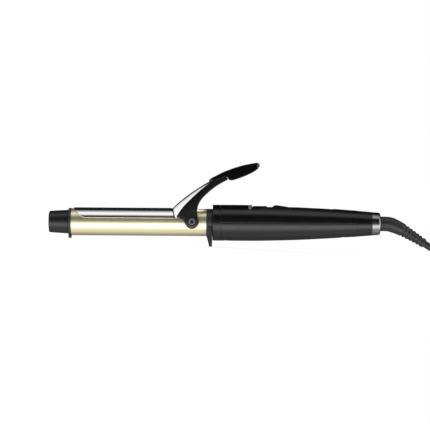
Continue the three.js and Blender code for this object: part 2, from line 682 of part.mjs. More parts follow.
function bootRings(curve, from, to) {
  const sides = 16;
  const steps = 14;
  return Array.from({ length: steps + 1 }, (_, k) => {
    const u = k / steps;
    const at = from + (to - from) * u;
    const p = curve.getPointAt(at);
    const tangent = curve.getTangentAt(at);
    const up = new THREE.Vector3(-tangent.z, 0, tangent.x);
    const r = BOOT_R + (BOOT_END_R - BOOT_R) * Math.max(0, (u - 0.35) / 0.65);
    return Array.from({ length: sides }, (_, i) => {
      const t = (i / sides) * 2 * Math.PI;
      return [p.x + up.x * r * Math.sin(t), r * Math.cos(t), p.z + up.z * r * Math.sin(t)];
    });
  });
}

function lead() {
  const route = ROUTE.map((p) => new THREE.Vector3(...p));
  const curve = new THREE.CatmullRomCurve3(route, false, 'centripetal');
  const length = curve.getLength();
  const bootEnd = BOOT_LENGTH / length;
  onFloor('strain_relief', lofted(bootRings(curve, 0, bootEnd)), rubberBlack);
  const cordStart = bootEnd + GAP / length;
  const points = Array.from({ length: 9 }, (_, i) =>
    curve.getPointAt(cordStart + ((1 - cordStart) * i) / 8).toArray());
  onFloor('cord_tube', wire(points, CORD_D / 2, 8, 8), rubberBlack);
}

function hank() {
  const loopR = 4.5 * CORD_D;
  const waist = 2 * CORD_D;
  const shape = new THREE.Shape();
  const open = 1.93;
  shape.absarc(HANK_X + HANK_LOOP, 0, loopR, -open, open);
  shape.lineTo(HANK_X + 9, waist);
  shape.lineTo(HANK_X - 9, waist);
  shape.absarc(HANK_X - HANK_LOOP, 0, loopR, Math.PI - open, Math.PI + open);
  shape.lineTo(HANK_X - 9, -waist);
  shape.lineTo(HANK_X + 9, -waist);
  const half = TIE_WIDTH / 2 + GAP;
  const bundle = fromAbove(shape, 0, HANK_TOP)
    .subtract(block(HANK_X - half, HANK_X + half, -50, 50, -1, 1.5))
    .subtract(block(HANK_X - half, HANK_X + half, -50, 50, HANK_TOP - 1.5, 50));
  onFloor('cord_hank', bundle, rubberBlack);
  const ringOut = roundedRect(-waist - 1.5, waist + 1.5, 0, HANK_TOP - 0.1, 3);
  const ringIn = roundedRect(-waist - GAP, waist + GAP, 1.2, HANK_TOP - 1.2, 1);
  const tie = fromFront(ringOut, HANK_X - TIE_WIDTH / 2, HANK_X + TIE_WIDTH / 2)
    .subtract(fromFront(ringIn, HANK_X - 20, HANK_X + 20));
  onFloor('hank_tie', tie, plastic('#17171a', 0.9));
}

function plug() {
  const rings = [
    [0, 4.3, 4.3],
    [6, 4.7, 4.7],
    [17, 5.6, 5.6],
    [19, 11, 6.4],
    [30, 15.5, 6.8],
    [46, 17.6, 6.85],
    [54, 17.6, 6.85],
  ];
  const sides = 20;
  const squarish = (t, power) => Math.sign(t) * Math.abs(t) ** power;
  const sections = rings.map(([x, halfWidth, halfHeight]) => {
    const power = x < 18 ? 1 : 0.6;
    return Array.from({ length: sides }, (_, i) => {
      const t = (i / sides) * 2 * Math.PI;
      return [PLUG_X - 18 + x, halfWidth * squarish(Math.cos(t), power),
        PLUG_Z + halfHeight * squarish(Math.sin(t), power)];
    });
  });
  const face = PLUG_X + 36;
  let body = lofted(sections);
  [['left', -1], ['right', 1]].forEach(([name, side]) => {
    const y = side * 9.2;
    const toPin = new THREE.Matrix4().makeTranslation(0, y, PLUG_Z);
    body = body.subtract(moved(disc(face - 7, face + 1, 2.3, 16), toPin));
    const pin = moved(disc(face - 6.7, face + 19, 2, 16), toPin);
    onFloor(`plug_pin_${name}`, pin, brass);
  });
  onFloor('plug_body', body, satinBlack);
}

coolTip();
barrelAndHeater();
standCollar();
handle();
controls();
rearEnd();
innerWires();
clamp();
pivots();
iron.rotation.y = -NOSE_DOWN;
iron.position.set(-ORIGIN_X, 0, AXIS_HEIGHT);
curlingIron.add(iron);
lead();
hank();
plug();

export default curlingIron;
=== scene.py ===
"""The looks of a spring-clip curling iron: its fine surfaces and materials, its lead, and a small white studio."""
import json
import math

import bmesh
import bpy
from mathutils import Matrix, Vector


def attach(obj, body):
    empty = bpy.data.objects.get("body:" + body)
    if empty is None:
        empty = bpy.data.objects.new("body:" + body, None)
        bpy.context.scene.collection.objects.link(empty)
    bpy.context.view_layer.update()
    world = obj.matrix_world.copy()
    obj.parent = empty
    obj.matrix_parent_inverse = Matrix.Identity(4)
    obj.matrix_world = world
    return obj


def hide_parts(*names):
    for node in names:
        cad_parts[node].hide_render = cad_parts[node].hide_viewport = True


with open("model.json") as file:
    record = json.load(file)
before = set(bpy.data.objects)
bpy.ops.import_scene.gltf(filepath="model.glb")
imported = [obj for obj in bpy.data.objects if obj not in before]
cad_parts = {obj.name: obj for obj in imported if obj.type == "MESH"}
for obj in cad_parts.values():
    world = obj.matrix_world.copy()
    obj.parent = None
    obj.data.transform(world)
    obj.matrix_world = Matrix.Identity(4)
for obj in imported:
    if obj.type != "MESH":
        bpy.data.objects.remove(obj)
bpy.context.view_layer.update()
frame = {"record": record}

# ---- driving dimensions, in millimetres, in the iron's own frame ----
# X runs along the iron's axis from the cool tip (-) to the lead (+), Z is up, X = 0 is the collar's front.
MM = 0.001
GAP = 0.3
SEAM = 0.03
BARREL_R = 12.7
BARREL_START = -126.7
TIP_END = -148.2
FLANGE_START = -129.4
FLANGE_R = 12.9
NIB_X, NIB_DEPTH = -128.05, 15.3
FOOT_X, FOOT_DEPTH = 3.8, 22.5
FOOT_HALF_WIDTH = 14
COLLAR_LENGTH = 5.5
COLLAR_R = 12.95
HANDLE_START, HANDLE_END = 13.3, 140.9
HANDLE_R = 16.85
HANDLE_PROFILE = [(HANDLE_START, HANDLE_R), (45, 16.8), (66, 16.35), (88, 15.55), (106, 14.55), (123, 13.5),
                  (131, 12.9), (HANDLE_END, 12.25)]
PANEL_Z = 15.1
PANEL_START = 42.4
SCREW_X = (18.5, 128)
LENS_X = (39, 41.8)
LENS_SWEEP = 40
BUTTON_X = (43.3, 56.4)
ROCKER_X = (61.6, 76)
CONTROL_HALF_WIDTH = 4.5
RING_START, RING_END = 154.8, 162.8
BLADE_R = 13.55
BLADE_THICK = 0.55
BLADE_WRAP = math.radians(71.3)
BLADE_START, BLADE_END = -124.8, -31.8
BLADE_NOSE = 12
PIVOT = (-13.7, 0.8)
BOSS_R = 6.7
CHEEK_IN, CHEEK_OUT, BOSS_OUT = 13.1, 15.4, 17.3
CHEEK_BEND_Z, CHEEK_LEAN = 14, 0.1556
PAD_HALF_WIDTH = 10.5
BOOT_LENGTH, BOOT_R, BOOT_END_R = 54, 6.85, 4.1
CORD_D = 6.5
HANK_X, HANK_LOOP = 310, 48.75
TIE_WIDTH = 12
PLUG_X, PLUG_Z = HANK_X + 20, 27.4
ORIGIN_X = 7.47

NOSE_DOWN = math.atan((FOOT_DEPTH - NIB_DEPTH) / (FOOT_X - NIB_X))
AXIS_HEIGHT = -NIB_X * math.sin(NOSE_DOWN) + NIB_DEPTH * math.cos(NOSE_DOWN)
FLOOR = Matrix.Scale(MM, 4)
IRON = FLOOR @ Matrix.Translation((-ORIGIN_X, 0, AXIS_HEIGHT)) @ Matrix.Rotation(-NOSE_DOWN, 4, "Y")


def floor_z(x):
    """Height of the resting surface in the iron's frame."""
    return -NIB_DEPTH - math.tan(NOSE_DOWN) * (x - NIB_X)


def placed(name, data):
    """A new object in the scene."""
    obj = bpy.data.objects.new(name, data)
    bpy.context.scene.collection.objects.link(obj)
    return obj


# ---- camera ----
def camera():
    """Level with the iron, square to it, rolled so that its axis lies almost level in the picture."""
    distance = 1.5
    field = 0.404
    roll = math.radians(3.54)
    eye = IRON @ Vector((7.8, 0, 7.22)) + Vector((0, -distance, 0))
    right = Vector((math.cos(roll), 0, math.sin(roll)))
    up = Vector((-math.sin(roll), 0, math.cos(roll)))
    data = bpy.data.cameras.new("camera")
    data.sensor_width = 36
    data.lens = data.sensor_width * distance / field
    data.clip_end = 20
    obj = placed("camera", data)
    obj.matrix_world = Matrix((right, up, Vector((0, -1, 0)))).transposed().to_4x4()
    obj.location = eye
    bpy.context.scene.camera = obj


# ---- materials ----
WAVE_SCALE = 0.314      # makes one band of the wave texture one unit wide


class Finish:
    """A principled material with its patterns read in the object's own coordinates, in metres."""

    def __init__(self, name, color, metallic=0.0, roughness=0.4, **sockets):
        self.material = bpy.data.materials.new(name)
        self.material.use_nodes = True
        self.tree = self.material.node_tree
        self.shader = self.tree.nodes["Principled BSDF"]
        self.set(self.shader, "Base Color", (*color, 1))
        self.set(self.shader, "Metallic", metallic)
        self.set(self.shader, "Roughness", roughness)
        for socket, value in sockets.items():
            self.set(self.shader, socket.replace("_", " ").title().replace("Ior", "IOR"), value)
        self.place = self.node("ShaderNodeTexCoord").outputs["Object"]
        self.normal = None

    def node(self, kind, **values):
        node = self.tree.nodes.new(kind)
        for key, value in values.items():
            setattr(node, key, value)
        return node

    @staticmethod
    def set(node, socket, value):
        node.inputs[socket].default_value = value

    def link(self, out, into):
        self.tree.links.new(out, into)

    def noise(self, per_mm, detail=3.0, stretch=(1, 1, 1), rough=0.5):
        """Noise with about per_mm blobs to the millimetre, stretched along the axes."""
        mapping = self.node("ShaderNodeMapping")
        mapping.inputs["Scale"].default_value = [per_mm / MM / s for s in stretch]
        self.link(self.place, mapping.inputs["Vector"])
        noise = self.node("ShaderNodeTexNoise")
        self.set(noise, "Scale", 1.0)
        self.set(noise, "Detail", detail)
        self.set(noise, "Roughness", rough)
        self.link(mapping.outputs["Vector"], noise.inputs["Vector"])
        return noise.outputs["Fac"]

    def wave(self, per_mm, direction, distortion=0.0):
        """Bands across one axis, per_mm of them to the millimetre."""
        mapping = self.node("ShaderNodeMapping")
        mapping.inputs["Scale"].default_value = [per_mm / MM] * 3
        self.link(self.place, mapping.inputs["Vector"])
        wave = self.node("ShaderNodeTexWave", bands_direction=direction)
        self.set(wave, "Scale", WAVE_SCALE)
        self.set(wave, "Distortion", distortion)
        self.link(mapping.outputs["Vector"], wave.inputs["Vector"])
        return wave.outputs["Fac"]

    def ranged(self, value, low, high, start=0.35, end=0.65):
        """The value's middle stretch spread from low to high."""
        fit = self.node("ShaderNodeMapRange")
        for socket, number in (("From Min", start), ("From Max", end), ("To Min", low), ("To Max", high)):
            self.set(fit, socket, number)
        self.link(value, fit.inputs["Value"])
        return fit.outputs["Result"]

    def multiplied(self, a, b):
        product = self.node("ShaderNodeMath", operation="MULTIPLY")
        self.link(a, product.inputs[0])
        self.link(b, product.inputs[1])
        return product.outputs[0]

    def patchy_gloss(self, low, high, per_mm=0.05, **noise):
        """Roughness that drifts between low and high over the surface."""
        self.link(self.ranged(self.noise(per_mm, **noise), low, high), self.shader.inputs["Roughness"])
        return self

    def tinted(self, first, second, value):
        """Base colour that runs from first to second as value goes from 0.35 to 0.65."""
        mix = self.node("ShaderNodeMix", data_type="RGBA")
        mix.inputs["A"].default_value = (*first, 1)
        mix.inputs["B"].default_value = (*second, 1)
        self.link(self.ranged(value, 0, 1), mix.inputs["Factor"])
        self.link(mix.outputs["Result"], self.shader.inputs["Base Color"])
        return self

    def relief(self, height, depth_mm, strength=1.0):
        """A bump of that depth, laid over the bumps before it."""
        bump = self.node("ShaderNodeBump")
        self.set(bump, "Strength", strength)
        self.set(bump, "Distance", depth_mm * MM)
        self.link(height, bump.inputs["Height"])
        if self.normal:
            self.link(self.normal, bump.inputs["Normal"])
        self.normal = bump.outputs["Normal"]
        self.link(self.normal, self.shader.inputs["Normal"])
        return self


def satin_black():
    """The handle's fine-grained moulding: dark, with a soft sheen and a grain that only shows close up."""
    finish = Finish("satin_black", (0.002, 0.002, 0.0022), roughness=0.24, ior=1.5)
    finish.patchy_gloss(0.2, 0.28, per_mm=0.08, detail=4)
    return finish.relief(finish.noise(2.2, detail=2), 0.012, 0.5)


def tip_black():
    """The cool tip's moulding, duller than the handle, with faint drag lines from its mould."""
    finish = Finish("tip_black", (0.006, 0.006, 0.0065), roughness=0.34, ior=1.5)
    finish.patchy_gloss(0.3, 0.38, per_mm=0.12)
    finish.relief(finish.noise(0.8, stretch=(8, 1, 1)), 0.008, 0.4)
    return finish.relief(finish.noise(3, detail=2), 0.015, 0.5)


def heat_black():
    """Glass-filled resin: dull charcoal with pale specks of fibre."""
    finish = Finish("heat_black", (0.02, 0.019, 0.019), roughness=0.4, ior=1.5)
    finish.tinted((0.012, 0.0115, 0.012), (0.026, 0.024, 0.024), finish.noise(2.5, detail=5, rough=0.7))
    finish.patchy_gloss(0.36, 0.46, per_mm=0.4)
    return finish.relief(finish.noise(3, detail=4), 0.02, 0.6)


def gloss_black():
    """Polished black moulding with a clear skin, faintly wavy, with a trace of handling."""
    finish = Finish("gloss_black", (0.0015, 0.0015, 0.0017), roughness=0.07, ior=1.45, coat_weight=0.2,
                    coat_roughness=0.03)
    finish.patchy_gloss(0.05, 0.13, per_mm=0.15, detail=5, rough=0.65)
    return finish.relief(finish.noise(0.06, detail=1), 0.03, 0.3)


def enamel_black():
    """Baked enamel on the clamp's steel bracket, with orange peel."""
    finish = Finish("enamel_black", (0.004, 0.004, 0.0042), roughness=0.2, ior=1.5, coat_weight=0.25,
                    coat_roughness=0.12)
    finish.patchy_gloss(0.17, 0.27, per_mm=0.2)
    return finish.relief(finish.noise(0.9, detail=2), 0.02, 0.5)


def rubber_black(name="rubber_black", rough=0.42):
    """Soft black rubber: matt, with a fine bloom."""
    finish = Finish(name, (0.01, 0.01, 0.011), roughness=rough, ior=1.5, sheen_weight=0.04, sheen_roughness=0.5)
    finish.tinted((0.007, 0.007, 0.0078), (0.012, 0.012, 0.0125), finish.noise(0.3, detail=4))
    finish.patchy_gloss(rough - 0.05, rough + 0.07, per_mm=0.5)
    return finish.relief(finish.noise(4, detail=2), 0.015, 0.6)


def gold():
    """Pale gold coating over a turned tube: fine rings round the barrel, slightly warmer patches, a satin blur."""
    finish = Finish("gold", (0.86, 0.78, 0.51), metallic=0.88, roughness=0.3)
    finish.tinted((0.87, 0.79, 0.53), (0.84, 0.755, 0.48), finish.noise(0.03, detail=3, stretch=(3, 1, 1)))
    rings = finish.noise(3, detail=4, stretch=(1, 60, 60), rough=0.7)
    finish.link(finish.ranged(rings, 0.27, 0.34), finish.shader.inputs["Roughness"])
    return finish.relief(rings, 0.004, 0.35)


def chrome():
    """Mirror plate with hairline wipes along it and the faint cloud of a hand."""
    finish = Finish("chrome", (0.93, 0.93, 0.94), metallic=1, roughness=0.06)
    cloud = finish.noise(0.07, detail=5, rough=0.65)
    finish.link(finish.ranged(cloud, 0.045, 0.11), finish.shader.inputs["Roughness"])
    return finish.relief(finish.noise(4, detail=3, stretch=(70, 1, 1), rough=0.6), 0.002, 0.25)


def dark_chrome():
    """Smoked bright plating of the end ring."""
    finish = Finish("dark_chrome", (0.25, 0.25, 0.255), metallic=1, roughness=0.09)
    finish.patchy_gloss(0.07, 0.12, per_mm=0.3, detail=4)
    return finish.relief(finish.noise(3, detail=3, stretch=(1, 30, 30)), 0.003, 0.3)


def steel(name="steel", color=(0.5, 0.5, 0.51), lines=(1, 1, 1)):
    """Plated steel with turning marks."""
    finish = Finish(name, color, metallic=1, roughness=0.28)
    marks = finish.noise(4, detail=4, stretch=lines, rough=0.7)
    finish.link(finish.ranged(marks, 0.22, 0.38), finish.shader.inputs["Roughness"])
    return finish.relief(marks, 0.004, 0.4)


def dark_steel():
    """Blackened screw heads."""
    return steel("dark_steel", (0.26, 0.26, 0.265))


def aluminium():
    """Extruded aluminium with lines along it."""
    return steel("aluminium", (0.62, 0.63, 0.65), (60, 1, 1))


def brass():
    """Plated brass, a little darker where it has been handled."""
    finish = Finish("brass", (0.72, 0.58, 0.32), metallic=1, roughness=0.25)
    finish.tinted((0.75, 0.62, 0.36), (0.62, 0.47, 0.24), finish.noise(0.4, detail=4))
    return finish.patchy_gloss(0.18, 0.34, per_mm=0.6)


def ceramic():
    """Unglazed heater ceramic, chalky and flecked."""
    finish = Finish("ceramic", (0.8, 0.78, 0.72), roughness=0.75)
    finish.tinted((0.82, 0.8, 0.74), (0.7, 0.67, 0.6), finish.noise(3, detail=6, rough=0.7))
    return finish.relief(finish.noise(5, detail=4), 0.02, 0.6)


def board_green():
    """Solder mask with the raised rows of its tracks."""
    finish = Finish("board_green", (0.02, 0.1, 0.04), roughness=0.35, coat_weight=0.3)
    tracks = finish.wave(0.5, "Y", distortion=1.5)
    finish.tinted((0.014, 0.07, 0.03), (0.03, 0.14, 0.05), tracks)
    return finish.relief(tracks, 0.05, 0.6)


def lens_grey():
    """Smoked translucent moulding with light-spreading ribs inside."""
    finish = Finish("lens_grey", (0.16, 0.165, 0.17), roughness=0.2, ior=1.49, transmission_weight=0.15)
    finish.patchy_gloss(0.16, 0.26, per_mm=0.5)
    return finish.relief(finish.wave(1.4, "Y"), 0.06, 0.35)


def nylon():
    """Natural nylon, waxy."""
    finish = Finish("nylon", (0.78, 0.76, 0.71), roughness=0.45, subsurface_weight=0.2)
    finish.patchy_gloss(0.4, 0.52, per_mm=0.4)
    return finish.relief(finish.noise(3), 0.01, 0.5)


def tie_black():
    """Woven strap: ribs of weft crossed by warp, with a dull nap."""
    finish = Finish("tie_black", (0.009, 0.009, 0.01), roughness=0.85, sheen_weight=0.15, sheen_roughness=0.4)
    ribs = finish.multiplied(finish.wave(1.1, "X"), finish.wave(1.1, "Y", distortion=0.4))
    finish.tinted((0.006, 0.006, 0.0065), (0.018, 0.018, 0.019), ribs)
    finish.relief(ribs, 0.15, 0.9)
    return finish.relief(finish.noise(5, detail=5), 0.08, 0.6)


def recess_painted_shade():
    """Painted shade: a dark, half-metallic surface for the inside of a screw's socket and for the pressed groove at
    the blade's crease, standing in for the shade that falls there.
    """
    finish = Finish("recess_painted_shade", (0.01, 0.01, 0.01), metallic=0.4, roughness=0.5)
    return finish.patchy_gloss(0.4, 0.6, per_mm=2)


MATERIALS = {make.__name__: make().material for make in (
    satin_black, tip_black, heat_black, gloss_black, enamel_black, rubber_black, gold, chrome, dark_chrome, steel,
    dark_steel, aluminium, brass, ceramic, board_green, lens_grey, nylon, tie_black, recess_painted_shade)}


# ---- outlines and solids ----
def rounded(points, radius, closed=True, steps=5):
    """The outline with its corners turned into short curves; radius is one size, or one for each corner."""
    count = len(points)
    sizes = list(radius) if isinstance(radius, (list, tuple)) else [radius] * count
    out = []
    for i, (point, size) in enumerate(zip(points, sizes)):
        if size == 0 or (not closed and i in (0, count - 1)):
            out.append(tuple(point))
            continue
        here = Vector(point)
        back = Vector(points[i - 1]) - here
        ahead = Vector(points[(i + 1) % count]) - here
        reach = min(size, 0.49 * back.length, 0.49 * ahead.length)
        start = here + back.normalized() * reach
        end = here + ahead.normalized() * reach
        for k in range(steps + 1):
            t = k / steps
            out.append(tuple(start * (1 - t) ** 2 + here * (2 * t * (1 - t)) + end * t * t))
    return out


def through(points, steps=6):
    """A smooth curve through the points."""
    known = [Vector(p) for p in points]
    known = [2 * known[0] - known[1], *known, 2 * known[-1] - known[-2]]
    out = []
    for a, b, c, d in zip(known, known[1:], known[2:], known[3:]):
        for k in range(steps):
            t = k / steps
            bend = (2 * a - 5 * b + 4 * c - d) * t * t + (3 * b - a - 3 * c + d) * t ** 3
            out.append(tuple(0.5 * (2 * b + (c - a) * t + bend)))
    out.append(tuple(known[-2]))
    return out


def spaced(points, count):
    """count points at equal steps along a polyline."""
    known = [Vector(p) for p in points]
    reach = [0.0]
    for a, b in zip(known, known[1:]):
        reach.append(reach[-1] + (b - a).length)
    out = []
    i = 0
    for k in range(count):
        at = reach[-1] * k / (count - 1)
        while i < len(known) - 2 and reach[i + 1] < at:
            i += 1
        share = (at - reach[i]) / max(reach[i + 1] - reach[i], 1e-9)
        out.append(known[i].lerp(known[i + 1], min(1, share)))
    return out


def lofted(rings, closed_rings=True, capped=True):
    """A surface through rings of points."""
    bm = bmesh.new()
    rows = [[bm.verts.new(p) for p in ring] for ring in rings]
    last = len(rows[0]) if closed_rings else len(rows[0]) - 1
    for a, b in zip(rows, rows[1:]):
        for i in range(last):
            j = (i + 1) % len(a)
            bm.faces.new((a[i], a[j], b[j], b[i]))
    if capped:
        bm.faces.new(rows[0])
        bm.faces.new(rows[-1])
    return bm


def lathe(profile, segments=128, arc=None):
    """(x, radius) points turned about the X axis; arc gives start and end angles from +Y, in degrees."""
    start, end = (math.radians(a) for a in (arc or (0, 360)))
    steps = segments if arc is None else segments + 1
    angles = [start + (end - start) * i / segments for i in range(steps)]
    rings = [[(x, r * math.cos(t), r * math.sin(t)) for x, r in profile] for t in angles]
    if arc is None:
        rings.append(rings[0])
    closed_profile = (Vector(profile[0]) - Vector(profile[-1])).length < 1e-6
    if closed_profile:
        rings = [ring[:-1] for ring in rings]
    return cleaned(lofted(rings, closed_profile, capped=arc is not None and closed_profile))


def cleaned(bm):
    bmesh.ops.remove_doubles(bm, verts=bm.verts, dist=1e-4)
    bmesh.ops.dissolve_degenerate(bm, edges=bm.edges, dist=1e-5)
    bmesh.ops.recalc_face_normals(bm, faces=bm.faces)
    return bm


def softened(bm, width, steps=3, from_angle=35):
    """The solid with its sharp edges rounded."""
    cleaned(bm)
    limit = math.radians(from_angle)
    edges = [e for e in bm.edges if e.is_manifold and e.calc_face_angle(0) > limit]
    bmesh.ops.bevel(bm, geom=edges, offset=width, segments=steps, profile=0.5, affect="EDGES",
                    clamp_overlap=True)
    return bm


def prism(points, low, high, plane="XZ", soft=0.3, steps=3):
    """An outline drawn in a plane and extruded from low to high along the third axis."""
    where = {"XZ": lambda a, b, c: (a, c, b), "YZ": lambda a, b, c: (c, a, b), "XY": lambda a, b, c: (a, b, c)}
    rings = [[where[plane](a, b, level) for a, b in points] for level in (low, high)]
    bm = lofted(rings)
    return softened(bm, soft, steps) if soft else cleaned(bm)


def joined(*parts):
    """Several solids in one mesh."""
    whole = bmesh.new()
    for part in parts:
        mesh = bpy.data.meshes.new("part")
        part.to_mesh(mesh)
        part.free()
        whole.from_mesh(mesh)
        bpy.data.meshes.remove(mesh)
    return whole


def transformed(bm, matrix):
    bm.transform(matrix)
    return bm


def mirrored(bm):
    """A copy on the other side of the iron."""
    copy = bm.copy()
    copy.transform(Matrix.Scale(-1, 4, (0, 1, 0)))
    bmesh.ops.reverse_faces(copy, faces=copy.faces)
    return copy


def sliced(bm, axis, places):
    """Extra edges across the solid, so that it can bend there."""
    for place in places:
        point = [0, 0, 0]
        normal = [0, 0, 0]
        point["XYZ".index(axis)] = place
        normal["XYZ".index(axis)] = 1
        every = [*bm.verts, *bm.edges, *bm.faces]
        bmesh.ops.bisect_plane(bm, geom=every, plane_co=point, plane_no=normal)
    return bm


def cut(body, *tools):
    """The body with each tool's solid taken out of it."""
    for tool in tools:
        pair = []
        for bm in (body, tool):
            mesh = bpy.data.meshes.new("cut")
            cleaned(bm).to_mesh(mesh)
            bm.free()
            pair.append(placed("cut", mesh))
        step = pair[0].modifiers.new("cut", "BOOLEAN")
        step.object = pair[1]
        step.operation = "DIFFERENCE"
        step.solver = "EXACT"
        result = bpy.data.meshes.new_from_object(pair[0].evaluated_get(bpy.context.evaluated_depsgraph_get()))
        body = bmesh.new()
        body.from_mesh(result)
        bpy.data.meshes.remove(result)
        for obj in pair:
            mesh = obj.data
            bpy.data.objects.remove(obj)
            bpy.data.meshes.remove(mesh)
    return body


def piece(name, bm, material, nodes, body="iron_body", place=IRON, crease=32):
    """Hands a solid over as one visible piece that stands for CAD nodes and rides on their body."""
    cleaned(bm)
    bm.transform(place)
    for face in bm.faces:
        face.smooth = True
    limit = math.radians(crease)
    for edge in bm.edges:
        edge.smooth = edge.is_manifold and edge.calc_face_angle(0) < limit
    mesh = bpy.data.meshes.new(name)
    bm.to_mesh(mesh)
    bm.free()
    mesh.materials.append(MATERIALS[material])
    obj = placed(name, mesh)
    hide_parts(*nodes)
    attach(obj, body)
    return obj


ACROSS = Matrix.Rotation(math.pi / 2, 4, "Z")      # turns a solid about X into one about Y
UPRIGHT = Matrix.Rotation(-math.pi / 2, 4, "Y")    # turns a solid about X into one about Z


# ---- the lead ----
# Its centreline over the surface, x and z, from the swivel to the hank's near end; the fifth point is
# where it leaves the bright ring.
ROUTE = [(x, 0, z) for x, z in (
    (148, 30.75), (152.5, 31), (156, 31.2), (160, 31.4), (163, 31.35), (166, 30.85), (169, 29.85), (174, 27.9),
    (181, 24.4), (189, 20.1), (197, 15.6), (204, 11.8), (212, 8.0), (220, 5.1), (228, 3.55), (231.4, 3.3))]


def quarter(column, count=9):
    """A quarter of one turn, from the tie out to the loop's far end; column is 0 inside and 1 outside."""
    loop_r = (3 + column) * CORD_D
    waist_r = (5 - column) * CORD_D
    waist_y = (0.5 + column) * CORD_D
    straight = 4
    run = HANK_LOOP - straight
    rise = waist_y + waist_r
    turn = math.asin((loop_r + waist_r) / math.hypot(run, rise)) - math.atan2(rise, run)
    points = [(0, waist_y)]
    for k in range(5):
        t = turn * k / 4
        points.append((straight + waist_r * math.sin(t), waist_y + waist_r * (1 - math.cos(t))))
    for k in range(17):
        t = math.pi / 2 + turn - (math.pi / 2 + turn) * k / 16
        points.append((HANK_LOOP + loop_r * math.cos(t), loop_r * math.sin(t)))
    return spaced(points, count)


def smooth(x):
    x = min(1, max(0, x))
    return x * x * (3 - 2 * x)


def lift(along):
    """The turns ride up over the tie, and over the lead where it comes in under their near end."""
    over_lead = CORD_D * smooth((-along - 14) / 44)
    return over_lead + 1.5 * math.exp(-(along / 13) ** 2)


def turn_point(phase, column, layer):
    """A point of a turn; phase 0 is at the tie, 1 at the far end, 2 at the tie again, 3 at the near end."""
    part = int(phase) % 4
    share = phase - int(phase)
    forward = part in (0, 2)
    curve = quarter(column, 33)
    at = (share if forward else 1 - share) * 32
    i = min(31, int(at))
    along, aside = curve[i].lerp(curve[i + 1], at - i)
    along *= 1 if part < 2 else -1
    aside *= 1 if part in (0, 3) else -1
    return (HANK_X + along, aside, (layer + 0.5) * CORD_D + lift(along))


def hank_points():
    """The folded turns: out and back through the tie, layer on layer."""
    steps = 8
    turns = [((0, 0), (1, 0)), ((1, 0), (1, 1)), ((1, 1), (0, 1)), ((0, 1), (0, 2)), ((0, 2), (1, 2))]
    crossing = {0: (2.45, 3.55), 1: (2.45, 3.55), 2: (2.45, 3.55), 3: (1.25, 2.25), 4: (0.15, 1.15)}
    out = []
    for number, ((column0, layer0), (column1, layer1)) in enumerate(turns):
        start, end = crossing[number]
        last = 3 if number == 4 else 4
        for k in range(last * steps):
            phase = k / steps
            share = smooth((phase - start) / (end - start))
            bulge = 0.45 * math.sin(math.pi * share) ** 0.7 if number == 1 else 0
            column = column0 + (column1 - column0) * share + bulge
            out.append(turn_point(phase, column, layer0 + (layer1 - layer0) * share))
    return out


def plug_end_points():
    """From the near end of the top turn, over the hank and into the plug."""
    loop_r = 4 * CORD_D
    leave = math.radians(50)
    low = 2.5 * CORD_D + CORD_D
    out = []
    for k in range(7):
        share = k / 6
        t = math.pi - (math.pi - leave) * share
        z = low + (PLUG_Z - low) * smooth(share)
        out.append((HANK_X - HANK_LOOP + loop_r * math.cos(t), loop_r * math.sin(t), z))
    heading = math.pi / 2 - leave
    fall = loop_r * (1 - math.cos(heading))
    x, y, _ = out[-1]
    run = (y - fall) / math.tan(heading)
    for k in range(1, 5):
        t = heading * (1 - k / 4)
        out.append((x + run + loop_r * (math.sin(heading) - math.sin(t)), loop_r * (1 - math.cos(t)), PLUG_Z))
    out.append((PLUG_X - 12, 0, PLUG_Z))
    return out


def lead():
    """The lead as one smooth curve, from inside the strain relief to inside the plug."""
    exit_point = Vector(ROUTE[4]) * MM
    incoming = [(HANK_X + a, b, CORD_D / 2 + lift(a) * smooth((a + 30) / 30))
                for a, b in ((-70, 0), (-60, 0), (-50, 0), (-40, 0.3), (-30, 1), (-20, 2.1), (-10, 3))]
    points = [*ROUTE[4:-1], *incoming, *hank_points(), *plug_end_points()]
    curve = bpy.data.curves.new("lead", "CURVE")
    curve.dimensions = "3D"
    curve.bevel_depth = CORD_D / 2 * MM
    curve.bevel_resolution = 6
    curve.resolution_u = 5
    curve.use_fill_caps = True
    spline = curve.splines.new("BEZIER")
    spline.bezier_points.add(len(points) - 1)
    for knot, point in zip(spline.bezier_points, points):
        knot.co = Vector(point) * MM
        knot.handle_left_type = knot.handle_right_type = "AUTO"
    curve.materials.append(MATERIALS["rubber_black"])
    obj = placed("lead", curve)
    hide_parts("cord_tube", "cord_hank")
    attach(obj, "iron_body")
    return obj, exit_point


def boot():
    """Curved strain relief with its flexing ribs towards the thin end."""
    route = spaced(through(ROUTE, 8), 400)
    length = sum((b - a).length for a, b in zip(route, route[1:]))
    rings = []
    count = 150
    sides = 48
    for k in range(count + 1):
        u = k / count
        at = u * BOOT_LENGTH / length * 399
        i = min(397, int(at))
        centre = route[i].lerp(route[i + 1], at - i)
        ahead = (route[i + 2] - route[max(0, i - 1)]).normalized()
        up = Vector((-ahead.z, 0, ahead.x))
        r = BOOT_R + (BOOT_END_R - BOOT_R) * max(0, (u - 0.35) / 0.65)
        if 0.54 < u < 0.95:
            r -= 0.7 * smooth(math.sin((u - 0.54) / 0.41 * 6 * 2 * math.pi - math.pi / 2) * 1.2 + 0.2)
        if u > 0.985:
            r -= 1.2 * ((u - 0.985) / 0.015) ** 2
        ring = []
        for s in range(sides):
            t = s / sides * 2 * math.pi
            ring.append(centre + up * (r * math.sin(t)) + Vector((0, r * math.cos(t), 0)))
        rings.append(ring)
    return piece("boot", lofted(rings), "rubber_black", ["strain_relief"], place=FLOOR, crease=50)


